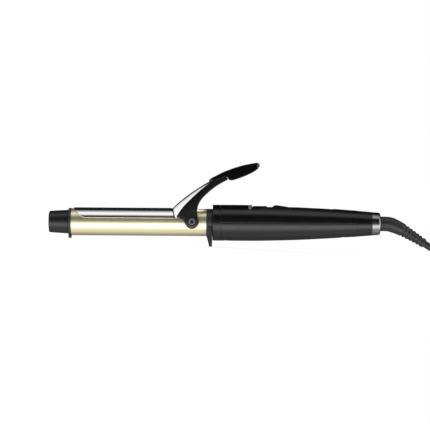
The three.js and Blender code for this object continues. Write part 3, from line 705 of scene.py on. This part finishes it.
def tie():
    """Hook-and-loop strap round the waist of the hank, its free end lapped over the top."""
    half = 2 * CORD_D + 0.4
    top = 3 * CORD_D + 1.7
    thick = 1.1
    inner = rounded([(-half, thick), (half, thick), (half, top), (-half, top)], 3)
    outer = rounded([(-half - thick, 0), (half + thick, 0), (half + thick, top + thick),
                     (-half - thick, top + thick)], 4)
    x0, x1 = HANK_X - TIE_WIDTH / 2, HANK_X + TIE_WIDTH / 2
    rings = [[(x, y, z) for y, z in ring] for x, ring in ((x0, outer), (x1, outer), (x1, inner), (x0, inner))]
    strap = softened(lofted([*rings, rings[0]], capped=False), 0.25, 2, 60)
    side = half + thick
    under = rounded([(side + 0.1, 6), (side + 0.1, top + thick + 0.1), (-6, top + thick + 0.1)], 4, closed=False)
    over = rounded([(side + 1.0, 6), (side + 1.0, top + thick + 1.0), (-6, top + thick + 0.9)], 4.6, closed=False)
    lap = prism([*under, *reversed(over)], x0 + 0.6, x1 - 0.6, "YZ", soft=0.2)
    return piece("tie", joined(strap, lap), "tie_black", ["hank_tie"], place=FLOOR)


def plug():
    """Moulded plug with a ribbed grip and two round pins with insulated roots."""
    stations = [(0, 4.3, 4.3, 1), (1.2, 4.7, 4.7, 1), (6, 4.8, 4.8, 1), (14, 5.4, 5.4, 1), (17, 6.4, 5.7, 0.9),
                (20, 10.4, 6.3, 0.75), (24, 12.8, 6.6, 0.65), (30, 15.2, 6.8, 0.6), (38, 16.8, 6.85, 0.58),
                (46, 17.6, 6.85, 0.56), (53, 17.6, 6.85, 0.56), (53.7, 17.3, 6.6, 0.56), (54, 16.8, 6.2, 0.56)]
    sides = 72
    rings = []
    for x, half_width, half_height, power in through(stations, 6):
        grip = 0.35 * max(0, math.sin((x - 26) / 2.6 * math.pi)) if 26 < x < 47 else 0
        ring = []
        for i in range(sides):
            t = i / sides * 2 * math.pi
            c, s = math.cos(t), math.sin(t)
            y = (half_width - grip) * math.copysign(abs(c) ** power, c)
            z = half_height * math.copysign(abs(s) ** power, s)
            ring.append((PLUG_X - 18 + x, y, PLUG_Z + z))
        rings.append(ring)
    face = PLUG_X + 36
    sleeves = [transformed(lathe(rounded([(face - 3, 0), (face - 3, 1.95), (face + 9.5, 1.95), (face + 9.5, 0)],
                                         [0, 0, 0.2, 0]), 40),
                           Matrix.Translation((0, side * 9.2, PLUG_Z))) for side in (-1, 1)]
    body = piece("plug", joined(lofted(rings), *sleeves), "satin_black", ["plug_body"], place=FLOOR, crease=40)
    pins = []
    for name, side in (("left", -1), ("right", 1)):
        profile = rounded([(face - 6, 0), (face - 6, 1.7), (face + 9.51, 1.7), (face + 9.52, 2), (face + 19, 2),
                           (face + 19, 0)], [0, 0, 0, 0, 1.2, 0])
        pin = transformed(lathe(profile, 48), Matrix.Translation((0, side * 9.2, PLUG_Z)))
        pins.append(piece(f"pin_{name}", pin, "brass", [f"plug_pin_{name}"], place=FLOOR))
    return body, pins


# ---- barrel and tip ----
def barrel():
    inside = BARREL_R - 1
    profile = rounded([(BARREL_START, inside), (BARREL_START, BARREL_R), (-GAP, BARREL_R), (-GAP, inside)],
                      [0, 0.25, 0.1, 0])
    piece("barrel", lathe([*profile, profile[0]]), "gold", ["barrel_tube"])


def cool_tip():
    """Tapered cap with a crowned end and a fine parting step where it meets the flange."""
    start = FLANGE_START - GAP
    profile = [(TIP_END, 0), (TIP_END + 0.1, 5), (TIP_END + 0.55, 10.02), (-140.3, 10.54), (-134.7, 10.84),
               (start - 0.5, 11.08), (start, 11.0), (start, 0)]
    cap = lathe(rounded(profile, [0, 3, 1.1, 3, 3, 0.2, 0.2, 0], closed=False))
    piece("cool_tip", cap, "tip_black", ["tip_cap"])

    end = BARREL_START - GAP
    ring = rounded([(FLANGE_START, 0), (FLANGE_START, FLANGE_R), (end, FLANGE_R), (end, 0)], [0, 0.35, 0.25, 0],
                   closed=False)
    middle = (FLANGE_START + end) / 2
    half = (end - FLANGE_START) / 2
    bottom = floor_z(middle)
    outline = [(middle - half, -8), (middle - half, bottom + 0.4), (middle - 0.5, floor_z(middle - 0.5)),
               (middle + 0.5, floor_z(middle + 0.5)), (middle + half, bottom + 0.4), (middle + half, -8)]
    nib = prism(rounded(outline, [0, 0.7, 0.1, 0.1, 0.7, 0]), -4, 4, soft=0.5)
    spigot = lathe([(end - 0.1, 0), (end - 0.1, 11.4), (BARREL_START + 6, 11.4), (BARREL_START + 6, 0)])
    piece("tip_foot", joined(lathe(ring), nib, spigot), "heat_black", ["tip_flange"])


# ---- stand ----
def stand():
    """Collar that carries the barrel, with the stand's foot tapering down from it and its rubber sole."""
    start = SEAM - GAP
    ring = rounded([(start, 8), (start, COLLAR_R), (COLLAR_LENGTH, COLLAR_R), (COLLAR_LENGTH, 11.2),
                    (HANDLE_START + 1.2, 11.2), (HANDLE_START + 1.2, 8)], [0, 0.3, 0.45, 0, 0, 0])
    collar = lathe([*ring, ring[0]])
    spigot = lathe([(-26, 7.6), (-26, 11.4), (0.2, 11.4), (0.2, 7.6), (-26, 7.6)])
    bottom = floor_z(3.8) + 1.35
    stations = [(0, -0.2, 5.45, COLLAR_R - 0.4), (-6, -0.18, 5.43, COLLAR_R - 0.1), (-12.4, 0, 5.4, 13.1),
                (-15, 0.65, 5.35, 13.45), (-18, 1.45, 5.25, 13.75), (bottom, 2.15, 5.3, 13.95)]
    rings = []
    for z, x0, x1, half in through(stations, 4):
        corner = min(1.1, 0.45 * (x1 - x0))
        plan = rounded([(x0, -half), (x1, -half), (x1, half), (x0, half)], corner, steps=6)
        rings.append([(x, y, z) for x, y in plan])
    inset = [((x - 3.75) * 0.9 + 3.75, y * 0.985, z - 0.25) for x, y, z in rings[-1]]
    foot = lofted([*rings, inset])
    piece("stand", joined(collar, spigot, foot), "heat_black", ["stand_collar"], crease=40)

    outline = [(2.45, floor_z(2.4) + 1.5), (2.45, floor_z(2.45)), (3.6, floor_z(3.6)), (3.6, floor_z(3.6) + 0.5),
               (4.0, floor_z(4.0) + 0.5), (4.0, floor_z(4.0)), (5.12, floor_z(5.12)), (5.12, floor_z(5.2) + 1.5)]
    width = FOOT_HALF_WIDTH - 0.5
    piece("sole", prism(rounded(outline, [0, 0.3, 0.15, 0.1, 0.1, 0.15, 0.3, 0]), -width, width, soft=0.15),
          "rubber_black", ["foot_sole"])


# ---- handle ----
def handle_radius(x):
    for (x0, r0), (x1, r1) in zip(HANDLE_PROFILE, HANDLE_PROFILE[1:]):
        if x <= x1:
            return r0 + (r1 - r0) * (x - x0) / (x1 - x0)
    return HANDLE_PROFILE[-1][1]


def panel_plan(margin):
    """The panel seen from above: parallel under the controls, then drawn in to a round end."""
    start = PANEL_START - margin
    end = 120 + margin
    wide, narrow = 7.2 + margin, 3.2 + margin
    side = [(start, wide), (79, wide), (88, wide - 1.35), (97, wide - 2.7), (106, wide - 3.6),
            (end - narrow, narrow)]
    side = [side[0], *through(side[1:], 5)]
    tip = [(end - narrow + narrow * math.cos(t), narrow * math.sin(t))
           for t in (math.radians(a) for a in range(75, -90, -15))]
    return [*side, *tip, *[(x, -y) for x, y in reversed(side)]]


def panel_drop(x):
    """How far the panel's top lies below its flat part."""
    known = [(77, 0), (82, 0.05), (88, 0.22), (97, 0.62), (106, 1.08), (120, 1.85)]
    for (x0, z0), (x1, z1) in zip(known, known[1:]):
        if x < x1:
            return z0 + (z1 - z0) * max(0, x - x0) / (x1 - x0)
    return known[-1][1]


def handle():
    start = HANDLE_START + SEAM
    end = HANDLE_END - SEAM
    outside = through([(min(max(x, start), end), r) for x, r in HANDLE_PROFILE], 6)
    inside = [(x, r - 2) for x, r in reversed(outside)]
    profile = rounded([*outside, *inside], [0.3, *[0] * (len(outside) - 2), 0.12, *[0] * len(inside)])
    profile = [*profile, profile[0]]
    seam = Matrix.Translation((0, 0, SEAM))
    upper = transformed(lathe(profile, 96, (0, 180)), seam)
    lower = transformed(lathe(profile, 96, (180, 360)), seam.inverted())

    pocket = prism(panel_plan(0.06), PANEL_Z - 3.5, 30, "XY", soft=0)
    groove_r = HANDLE_R - 1.5
    groove = lathe([(LENS_X[0] - 0.12, groove_r), (LENS_X[0] - 0.12, 20), (LENS_X[1] + 0.12, 20),
                    (LENS_X[1] + 0.12, groove_r), (LENS_X[0] - 0.12, groove_r)], 64,
                   (90 - LENS_SWEEP - 0.5, 90 + LENS_SWEEP + 0.5))
    upper = softened(cut(upper, pocket, groove), 0.05, 2, 55)
    piece("upper_shell", upper, "satin_black", ["handle_upper_shell"])

    recesses = []
    for x in SCREW_X:
        well = lathe([(-30, 0), (-30, 2.9), (-handle_radius(x) + 1.95, 2.9), (-handle_radius(x) + 1.95, 0)], 40)
        recesses.append(transformed(well, Matrix.Translation((x, 0, 0)) @ UPRIGHT))
    lower = softened(cut(lower, *recesses), 0.05, 2, 55)
    run = [(x, r) for x, r in outside if HANDLE_START + 3 < x < HANDLE_END - 7]
    lip = [*[(x, r - 2.02) for x, r in run], *[(x, r - 2.4) for x, r in reversed(run)]]
    lips = [lathe([*lip, lip[0]], 6, arc) for arc in ((-4, 4), (176, 184))]
    piece("lower_shell", joined(lower, *lips), "satin_black", ["handle_lower_shell"])

    ring_end = HANDLE_START - SEAM
    sleeve = HANDLE_R - 2.15
    front = [(COLLAR_LENGTH + SEAM, 11.5), (COLLAR_LENGTH + SEAM, HANDLE_R), (ring_end, HANDLE_R), (ring_end, sleeve),
             (HANDLE_START + 2, sleeve), (HANDLE_START + 2, 11.5)]
    front = rounded(front, [0, 0.9, 0.3, 0, 0, 0], steps=8)
    piece("handle_nose", lathe([*front, front[0]]), "satin_black", ["front_ring"])

    lens = rounded([(LENS_X[0], groove_r + 0.1), (LENS_X[0], HANDLE_R + 0.02), (LENS_X[1], HANDLE_R + 0.02),
                    (LENS_X[1], groove_r + 0.1)], [0, 0.3, 0.3, 0])
    lens = lathe([*lens, lens[0]], 64, (90 - LENS_SWEEP, 90 + LENS_SWEEP))
    piece("status_lens", lens, "lens_grey", ["indicator_lens"])


def controls():
    """Sunk panel with its two windows, the dished push button and the rocker switch."""
    half = CONTROL_HALF_WIDTH + 0.35
    windows = [prism(rounded([(x0, -half), (x1, -half), (x1, half), (x0, half)], 1.3), 5, 30, "XY", soft=0)
               for x0, x1 in ((BUTTON_X[0] - 0.35, BUTTON_X[1] + 0.35), (ROCKER_X[0] - 0.55, ROCKER_X[1] + 0.55))]
    panel = cut(prism(panel_plan(0), PANEL_Z - 1.8, PANEL_Z, "XY", soft=0), *windows)
    panel = softened(panel, 0.3, 3, 50)
    panel = sliced(panel, "X", (79, 82, 85, 88, 92, 97, 101, 106, 110, 114, 118))
    for vert in panel.verts:
        vert.co.z -= panel_drop(vert.co.x)
    piece("panel", panel, "satin_black", ["control_panel"])

    half = CONTROL_HALF_WIDTH
    plan = rounded([(BUTTON_X[0], -half), (BUTTON_X[1], -half), (BUTTON_X[1], half), (BUTTON_X[0], half)], 1.6)
    cap = prism(plan, 13.4, 15.95, "XY", soft=0.45)
    dish = lathe([(0, 0), (0, 18), (6, 18), (6, 0)], 96)
    dish = transformed(dish, Matrix.Translation((sum(BUTTON_X) / 2, -3, 33.55)) @ ACROSS)
    cap = softened(cut(cap, dish), 0.1, 2, 25)
    stem = transformed(lathe([(12.2, 0), (12.2, 1.6), (13.6, 1.6), (13.6, 0)], 32),
                       Matrix.Translation((50.5, 0, 0)) @ UPRIGHT)
    piece("button_cap", joined(cap, stem), "gloss_black", ["mode_button"], body="button")

    outline = rounded([(ROCKER_X[0], 12.6), (ROCKER_X[0], 15.35), (64.3, 17.05), (ROCKER_X[1], 15.35),
                       (ROCKER_X[1], 12.6), (71, 12), (66.8, 12)], [0.3, 0.9, 1.6, 0.6, 0.3, 0.5, 0.5])
    piece("rocker_cap", prism(outline, -half, half, soft=0.4), "gloss_black", ["power_rocker"], body="rocker")


def tail():
    """Rear cap with its sleeve, and the bright ring that ends the handle."""
    start = HANDLE_END + SEAM
    end = RING_START - SEAM
    cap = rounded([(start - 6, 8.6), (start - 6, 9.9), (start, 9.9), (start, 12.2), (147.6, 11.65),
                   (end, 11.05), (end, 8.6)], [0, 0, 0, 0.25, 4, 0.25, 0])
    piece("tail_cap", lathe([*cap, cap[0]]), "satin_black", ["rear_cap"])
    ring = rounded([(RING_START + SEAM, 7.3), (RING_START + SEAM, 10.98), (RING_END - 1.1, 10.5),
                    (RING_END, 9.5), (RING_END, 7.3)], [0, 0.2, 0.9, 0.7, 0.3], steps=6)
    piece("bright_ring", lathe([*ring, ring[0]]), "dark_chrome", ["end_ring"])


# ---- clamp ----
# Stations of the lever: x and height of its crown, half width, depth of the section, lean of its edge,
# and how boxy the section is (0 is round, 1 has a flat crown between steep flanks).
LEVER = [
    (BLADE_END, BLADE_R, 12.83, 9.2, 2.3, 0),
    (-27.4, 18.05, 12.6, 11.5, 4, 1),
    (-21.7, 22.85, 12, 10.1, 5.5, 1),
    (-13.3, 29.1, 11.2, 7.6, 5, 1),
    (-4.8, 34.65, 10, 5.7, 4, 1),
    (2, 38.55, 9, 3.4, 2.5, 0.5),
    (8, 41.7, 8, 2.4, 1.4, 0),
    (15, 45, 7.5, 1.4, 0.8, 0),
]


def sheet_section(x, z, half, depth, lean, boxy=0, wrap=BLADE_WRAP):
    """Over the outside of the curved sheet and back along its inside."""
    steps = 72
    crown = 1 - (depth + 0.8 * lean) / (1.6 * half)
    corner = 1.2 / half
    sides = []
    for w, top, deep in ((half, z, depth), (half - BLADE_THICK, z - BLADE_THICK, depth - BLADE_THICK)):
        side = []
        for i in range(steps + 1):
            t = (2 * i / steps - 1) * wrap
            aside = math.sin(t) / math.sin(wrap)
            round_drop = (1 - math.cos(t)) / (1 - math.cos(wrap))
            over = abs(aside) - crown
            flank = (over + math.hypot(over, corner)) / 2 / (1 - crown)
            drop = round_drop + (flank - round_drop) * min(1, max(0, boxy))
            side.append((x + lean * drop, w * aside, top - deep * drop))
        sides.append(side)
    return [*sides[0], *reversed(sides[1])]


def blade():
    """Spring blade with a rounded nose, creased up into the lever's tongue: one chromed sheet, with painted shade in
    the groove at its crease.
    """
    rings = []
    power = 1.8
    nose_steps = 28
    for k in range(1, nose_steps + 1):
        share = (k / nose_steps) ** 2.2
        reach = BLADE_WRAP * (1 - (1 - share) ** power) ** (1 / power)
        rings.append((BLADE_START + BLADE_NOSE * share, reach))
    rings += [(x, BLADE_WRAP) for x in (-108, -100, -90, -75, -60, -50, -44)]
    sections = []
    for x, reach in rings:
        drop = BLADE_R * (1 - math.cos(reach))
        sections.append(sheet_section(x, BLADE_R, BLADE_R * math.sin(reach), drop, 0, 0, reach))
    flat = BLADE_R * (1 - math.cos(BLADE_WRAP))
    width = BLADE_R * math.sin(BLADE_WRAP)
    sections.append(sheet_section(BLADE_END - 3.2, BLADE_R, width, flat, 1.2))
    crease = len(sections)
    for x, inset in ((-0.85, 0), (-0.75, 0.12), (-0.45, 0.42), (-0.35, 0.42), (-0.1, 0.12)):
        lean = LEVER[0][4] * (1 + x / 10)
        sections.append(sheet_section(BLADE_END + x, BLADE_R - inset, width - inset, flat - inset * 0.6, lean))
    start = Vector(LEVER[0])
    foot = Vector(LEVER[1])
    for share in (0.03, 0.08, 0.2, 0.4, 0.7):
        sections.append(sheet_section(*start.lerp(foot, share)[:5], min(1, 9 * share)))
    sections += [sheet_section(*station) for station in through(LEVER[1:], 5)]
    sheet = lofted(sections)
    across = len(sections[0])
    # The faces in the groove at the crease take the second material: painted shade standing in for the dark line the
    # crease reflects.
    for face in list(sheet.faces)[(crease + 1) * across:(crease + 4) * across]:
        face.material_index = 1
    obj = piece("blade", sheet, "chrome", ["clamp_blade"], body="clamp", crease=24)
    obj.data.materials.append(MATERIALS["recess_painted_shade"])


def bracket():
    """Black bracket: two cheeks that lean in above the barrel, a round boss at each pivot, a web below the pad."""
    left = through([(-28.3, 5.5), (-21.6, 15), (-13.3, 23.5), (-4.9, 31.2), (3.6, 37.6), (6.8, 38.6)], 8)
    seam = [(12, 40.75), (18, 42.7), (19.35, 41.9), (19.7, 40.8)]
    right = through([(19.7, 40.8), (13.1, 37.1), (7, 33.15), (0.3, 27.45), (-5.1, 21.8), (-8.1, 16.2),
                     (-8.8, 12), (-8.4, 7), (-7.2, 2.5)], 8)[1:]
    fillet = through([(-19.6, -2.4), (-20.7, -0.3), (-22, 1.6), (-24.2, 3.4), (-28.3, 5.5)], 8)[:-1]
    cheek = prism([*left, *seam, *right, PIVOT, *fillet], CHEEK_IN, CHEEK_OUT, soft=0.65, steps=4)
    cheek = sliced(cheek, "Z", [CHEEK_BEND_Z + k for k in (-6, -4, -2, 0, 2, 4, 6, 10, 14, 18, 22)])
    for vert in cheek.verts:
        over = vert.co.z - CHEEK_BEND_Z
        vert.co.y -= CHEEK_LEAN * (over + math.sqrt(over * over + 16)) / 2 - 0.08
    boss = rounded([(CHEEK_IN, 2.65), (CHEEK_IN, BOSS_R), (BOSS_OUT - 0.35, BOSS_R), (BOSS_OUT, 3.3), (15.9, 3.3),
                    (15.9, 2.65)], [0, 0, 1.0, 0.3, 0, 0], steps=8)
    boss = lathe([*boss, boss[0]], 96)
    boss = transformed(boss, Matrix.Translation((PIVOT[0], 0, PIVOT[1])) @ ACROSS)
    side = joined(cheek, boss)
    web = rounded([(5, 31.6), (12, 36.6), (19.3, 40.8), (18, 42.2), (12, 40.3), (5, 34.7)],
                  [0.6, 2, 0.5, 0.5, 1, 0.6])
    web = prism(web, -9.6, 9.6, soft=0.3)
    piece("bracket", joined(mirrored(side), side, web), "enamel_black", ["clamp_bracket"],
          body="clamp", crease=40)


def thumb_pad():
    """Gloss pad over the tongue: a long soft wedge with a rounded end."""
    top = through([(1.9, 38.9), (3.1, 41), (9.3, 44.4), (15, 47.35), (20.6, 49.65), (26.3, 51.7), (31.9, 53.45),
                   (37.5, 54.8), (43.2, 55.85), (46, 56.35), (48.4, 55.9), (49.5, 53.7)], 8)
    under = [(1.9, 38.9), (3.1, 38.5), (6.8, 39.3), (12, 41), (18.2, 43), (19.7, 42.3), (20.4, 41), (21.5, 40.2),
             (23.6, 40), (27.2, 40.9), (32.8, 42.9), (38.5, 45.3), (44.1, 48.2), (47.5, 50.6), (49.5, 53.7)]
    under = through(under, 8)
    count = 84
    corner = 5.0
    start, end = top[0][0], top[-1][0]
    rings = []
    for a, b in zip(spaced(top, count), spaced(under, count)):
        middle = (a + b) / 2
        half = (a - b) / 2
        near_end = max(0.0, corner - min(middle.x - start, end - middle.x))
        width = PAD_HALF_WIDTH - corner + math.sqrt(max(0.0, corner ** 2 - near_end ** 2))
        thick = max(0.02, 2 * half.length)
        top_half = width - 0.22 * thick
        soft = min(1.1, 0.45 * thick)
        outline = rounded([(-width, -thick / 2), (width, -thick / 2), (top_half, thick / 2), (-top_half, thick / 2)],
                          [0.6 * soft, 0.6 * soft, soft, soft], steps=9)
        unit = half.normalized()
        rings.append([(middle.x + unit.x * up, across, middle.y + unit.y * up) for across, up in outline])
    piece("pad", lofted(rings), "gloss_black", ["thumb_pad"], body="clamp", crease=60)


def pivot_screws():
    """Pan heads with a bright rim round a hexagonal socket, whose inside is painted dark as painted shade."""
    for name, side in (("left", -1), ("right", 1)):
        head = rounded([(8.2, 0), (8.2, 1.5), (16.2, 1.5), (16.2, 3), (17.1, 3), (17.1, 1.95), (16.75, 1.75)],
                       [0, 0, 0, 0.1, 0.35, 0.15, 0], closed=False)
        head = lathe([*head, (16.75, 0)], 64)
        place = Matrix.Translation((PIVOT[0], 0, PIVOT[1])) @ ACROSS
        head = transformed(head, place)
        hexagon = [(1.65 * math.cos(math.pi * k / 3), 1.65 * math.sin(math.pi * k / 3)) for k in range(6)]
        well = lofted([[(x, y, z) for y, z in hexagon] for x in (16.2, 20)])
        head = cut(head, transformed(well, place))
        if side < 0:
            head = mirrored(head)
        obj = piece(f"screw_{name}", head, "dark_steel", [f"pivot_screw_{name}"])
        obj.data.materials.append(MATERIALS["recess_painted_shade"])
        # Faces inside the hexagonal socket take the second material: painted shade for the recess.
        centre = IRON @ Vector((PIVOT[0], side * 17, PIVOT[1]))
        for face in obj.data.polygons:
            away = face.center - centre
            away.y = 0
            if away.length < 1.72 * MM and face.center.y * side > 15.5 * MM:
                face.material_index = 1


# ---- the pieces inside, which keep their CAD shapes ----
def inner_pieces():
    for entry in frame["record"]["subparts"]:
        obj = bpy.data.objects.get(entry["node"])
        if obj is not None and not obj.hide_render:
            obj.data.materials.clear()
            obj.data.materials.append(MATERIALS[entry["material_slot"]])


# ---- studio ----
# Brightness of the studio by height, in degrees round the iron's length: 0 level on the camera's side,
# 90 overhead, -90 below; soft boxes overhead and low in front and behind, black cards between them.
STUDIO = [
    (-180, 0.03), (-165, 0.1), (-150, 0.16), (-134, 0.2), (-119, 0.32), (-106, 0.45), (-93, 0.75), (-80, 0.85),
    (-66, 0.88), (-57, 1.0), (-49, 1.5), (-40, 2.3), (-31, 3.0), (-22, 2.7), (-14, 1.75), (-7, 0.85), (-1, 0.28),
    (6, 0.19), (13, 0.13), (22, 0.06), (32, 0.03), (43, 0.04), (49, 0.07), (54, 0.28), (60, 0.78), (66, 1.0),
    (74, 1.05), (81, 0.85), (89, 0.6), (97, 0.38), (104, 0.12), (110, 0.01),
]
STUDIO_PEAK = 3.0
SIDE_LIGHT = 3.0              # a tall soft box to the right of the camera


def studio_light():
    """Even white light for everything matt, and the boxes and cards above for everything that shines."""
    world = bpy.data.worlds.new("studio")
    world.use_nodes = True
    tree = world.node_tree
    tree.nodes.clear()

    def node(kind, *inputs, operation=None):
        """A new node; each input is a socket with either a number, a colour or the output to link to it."""
        new = tree.nodes.new(kind)
        if operation:
            new.operation = operation
        for socket, value in inputs:
            if isinstance(value, bpy.types.NodeSocket):
                tree.links.new(value, new.inputs[socket])
            else:
                new.inputs[socket].default_value = value
        return new

    def share(value, start, end):
        """How far the value has come from start to end."""
        return node("ShaderNodeMapRange", ("From Min", start), ("From Max", end), ("Value", value)).outputs["Result"]

    split = node("ShaderNodeSeparateXYZ", (0, node("ShaderNodeTexCoord").outputs["Generated"]))
    towards = node("ShaderNodeMath", (0, split.outputs["Y"]), (1, -1), operation="MULTIPLY").outputs[0]
    height = node("ShaderNodeMath", (0, split.outputs["Z"]), (1, towards), operation="ARCTAN2").outputs[0]
    ramp = node("ShaderNodeValToRGB", ("Fac", share(height, -math.pi, math.pi)))
    stops = ramp.color_ramp.elements
    while len(stops) < len(STUDIO):
        stops.new(0.5)
    for stop, (degrees, level) in zip(stops, STUDIO):
        stop.position = (degrees + 180) / 360
        stop.color = (*[level / STUDIO_PEAK] * 3, 1)
    beside = node("ShaderNodeMath", (0, share(split.outputs["X"], 0.55, 0.85)), (1, share(towards, 0.0, 0.2)),
                  operation="MULTIPLY")
    lit = tree.nodes.new("ShaderNodeMix")
    lit.data_type = "RGBA"
    tree.links.new(beside.outputs[0], lit.inputs["Factor"])
    tree.links.new(ramp.outputs["Color"], lit.inputs["A"])
    lit.inputs["B"].default_value = (*[SIDE_LIGHT / STUDIO_PEAK] * 3, 1)
    shine = node("ShaderNodeBackground", ("Strength", STUDIO_PEAK), ("Color", lit.outputs["Result"]))
    even = node("ShaderNodeBackground", ("Strength", 1.0), ("Color", (1, 1, 1, 1)))
    mix = node("ShaderNodeMixShader", ("Fac", node("ShaderNodeLightPath").outputs["Is Glossy Ray"]),
               (1, even.outputs[0]), (2, shine.outputs[0]))
    node("ShaderNodeOutputWorld", ("Surface", mix.outputs[0]))
    bpy.context.scene.world = world

    lamp = bpy.data.lights.new("overhead", "AREA")
    lamp.shape = "RECTANGLE"
    lamp.size = 1.2
    lamp.size_y = 0.8
    lamp.energy = 4
    obj = placed("overhead", lamp)
    obj.location = (0.1, -0.1, 1.1)
    obj.visible_glossy = False


def floor():
    """A wide pale floor, faintly uneven like rolled card."""
    finish = Finish("floor", (0.18, 0.18, 0.18), roughness=0.9, specular_ior_level=0.0, emission_strength=0.82)
    finish.set(finish.shader, "Emission Color", (1, 1, 1, 1))
    finish.tinted((0.18, 0.18, 0.18), (0.177, 0.177, 0.177), finish.noise(0.02))
    size = 6
    bm = lofted([[(-size, -size, 0), (size, -size, 0)], [(-size, size, 0), (size, size, 0)]],
                closed_rings=False, capped=False)
    mesh = bpy.data.meshes.new("floor")
    bm.to_mesh(mesh)
    bm.free()
    mesh.materials.append(finish.material)
    obj = placed("floor", mesh)
    obj.visible_glossy = False


camera()
cord, leaves_at = lead()
strain = boot()
band = tie()
plug_piece, plug_pins = plug()
barrel()
cool_tip()
stand()
handle()
controls()
tail()
blade()
bracket()
thumb_pad()
pivot_screws()
inner_pieces()
studio_light()
floor()
bpy.context.scene.view_settings.view_transform = "Standard"
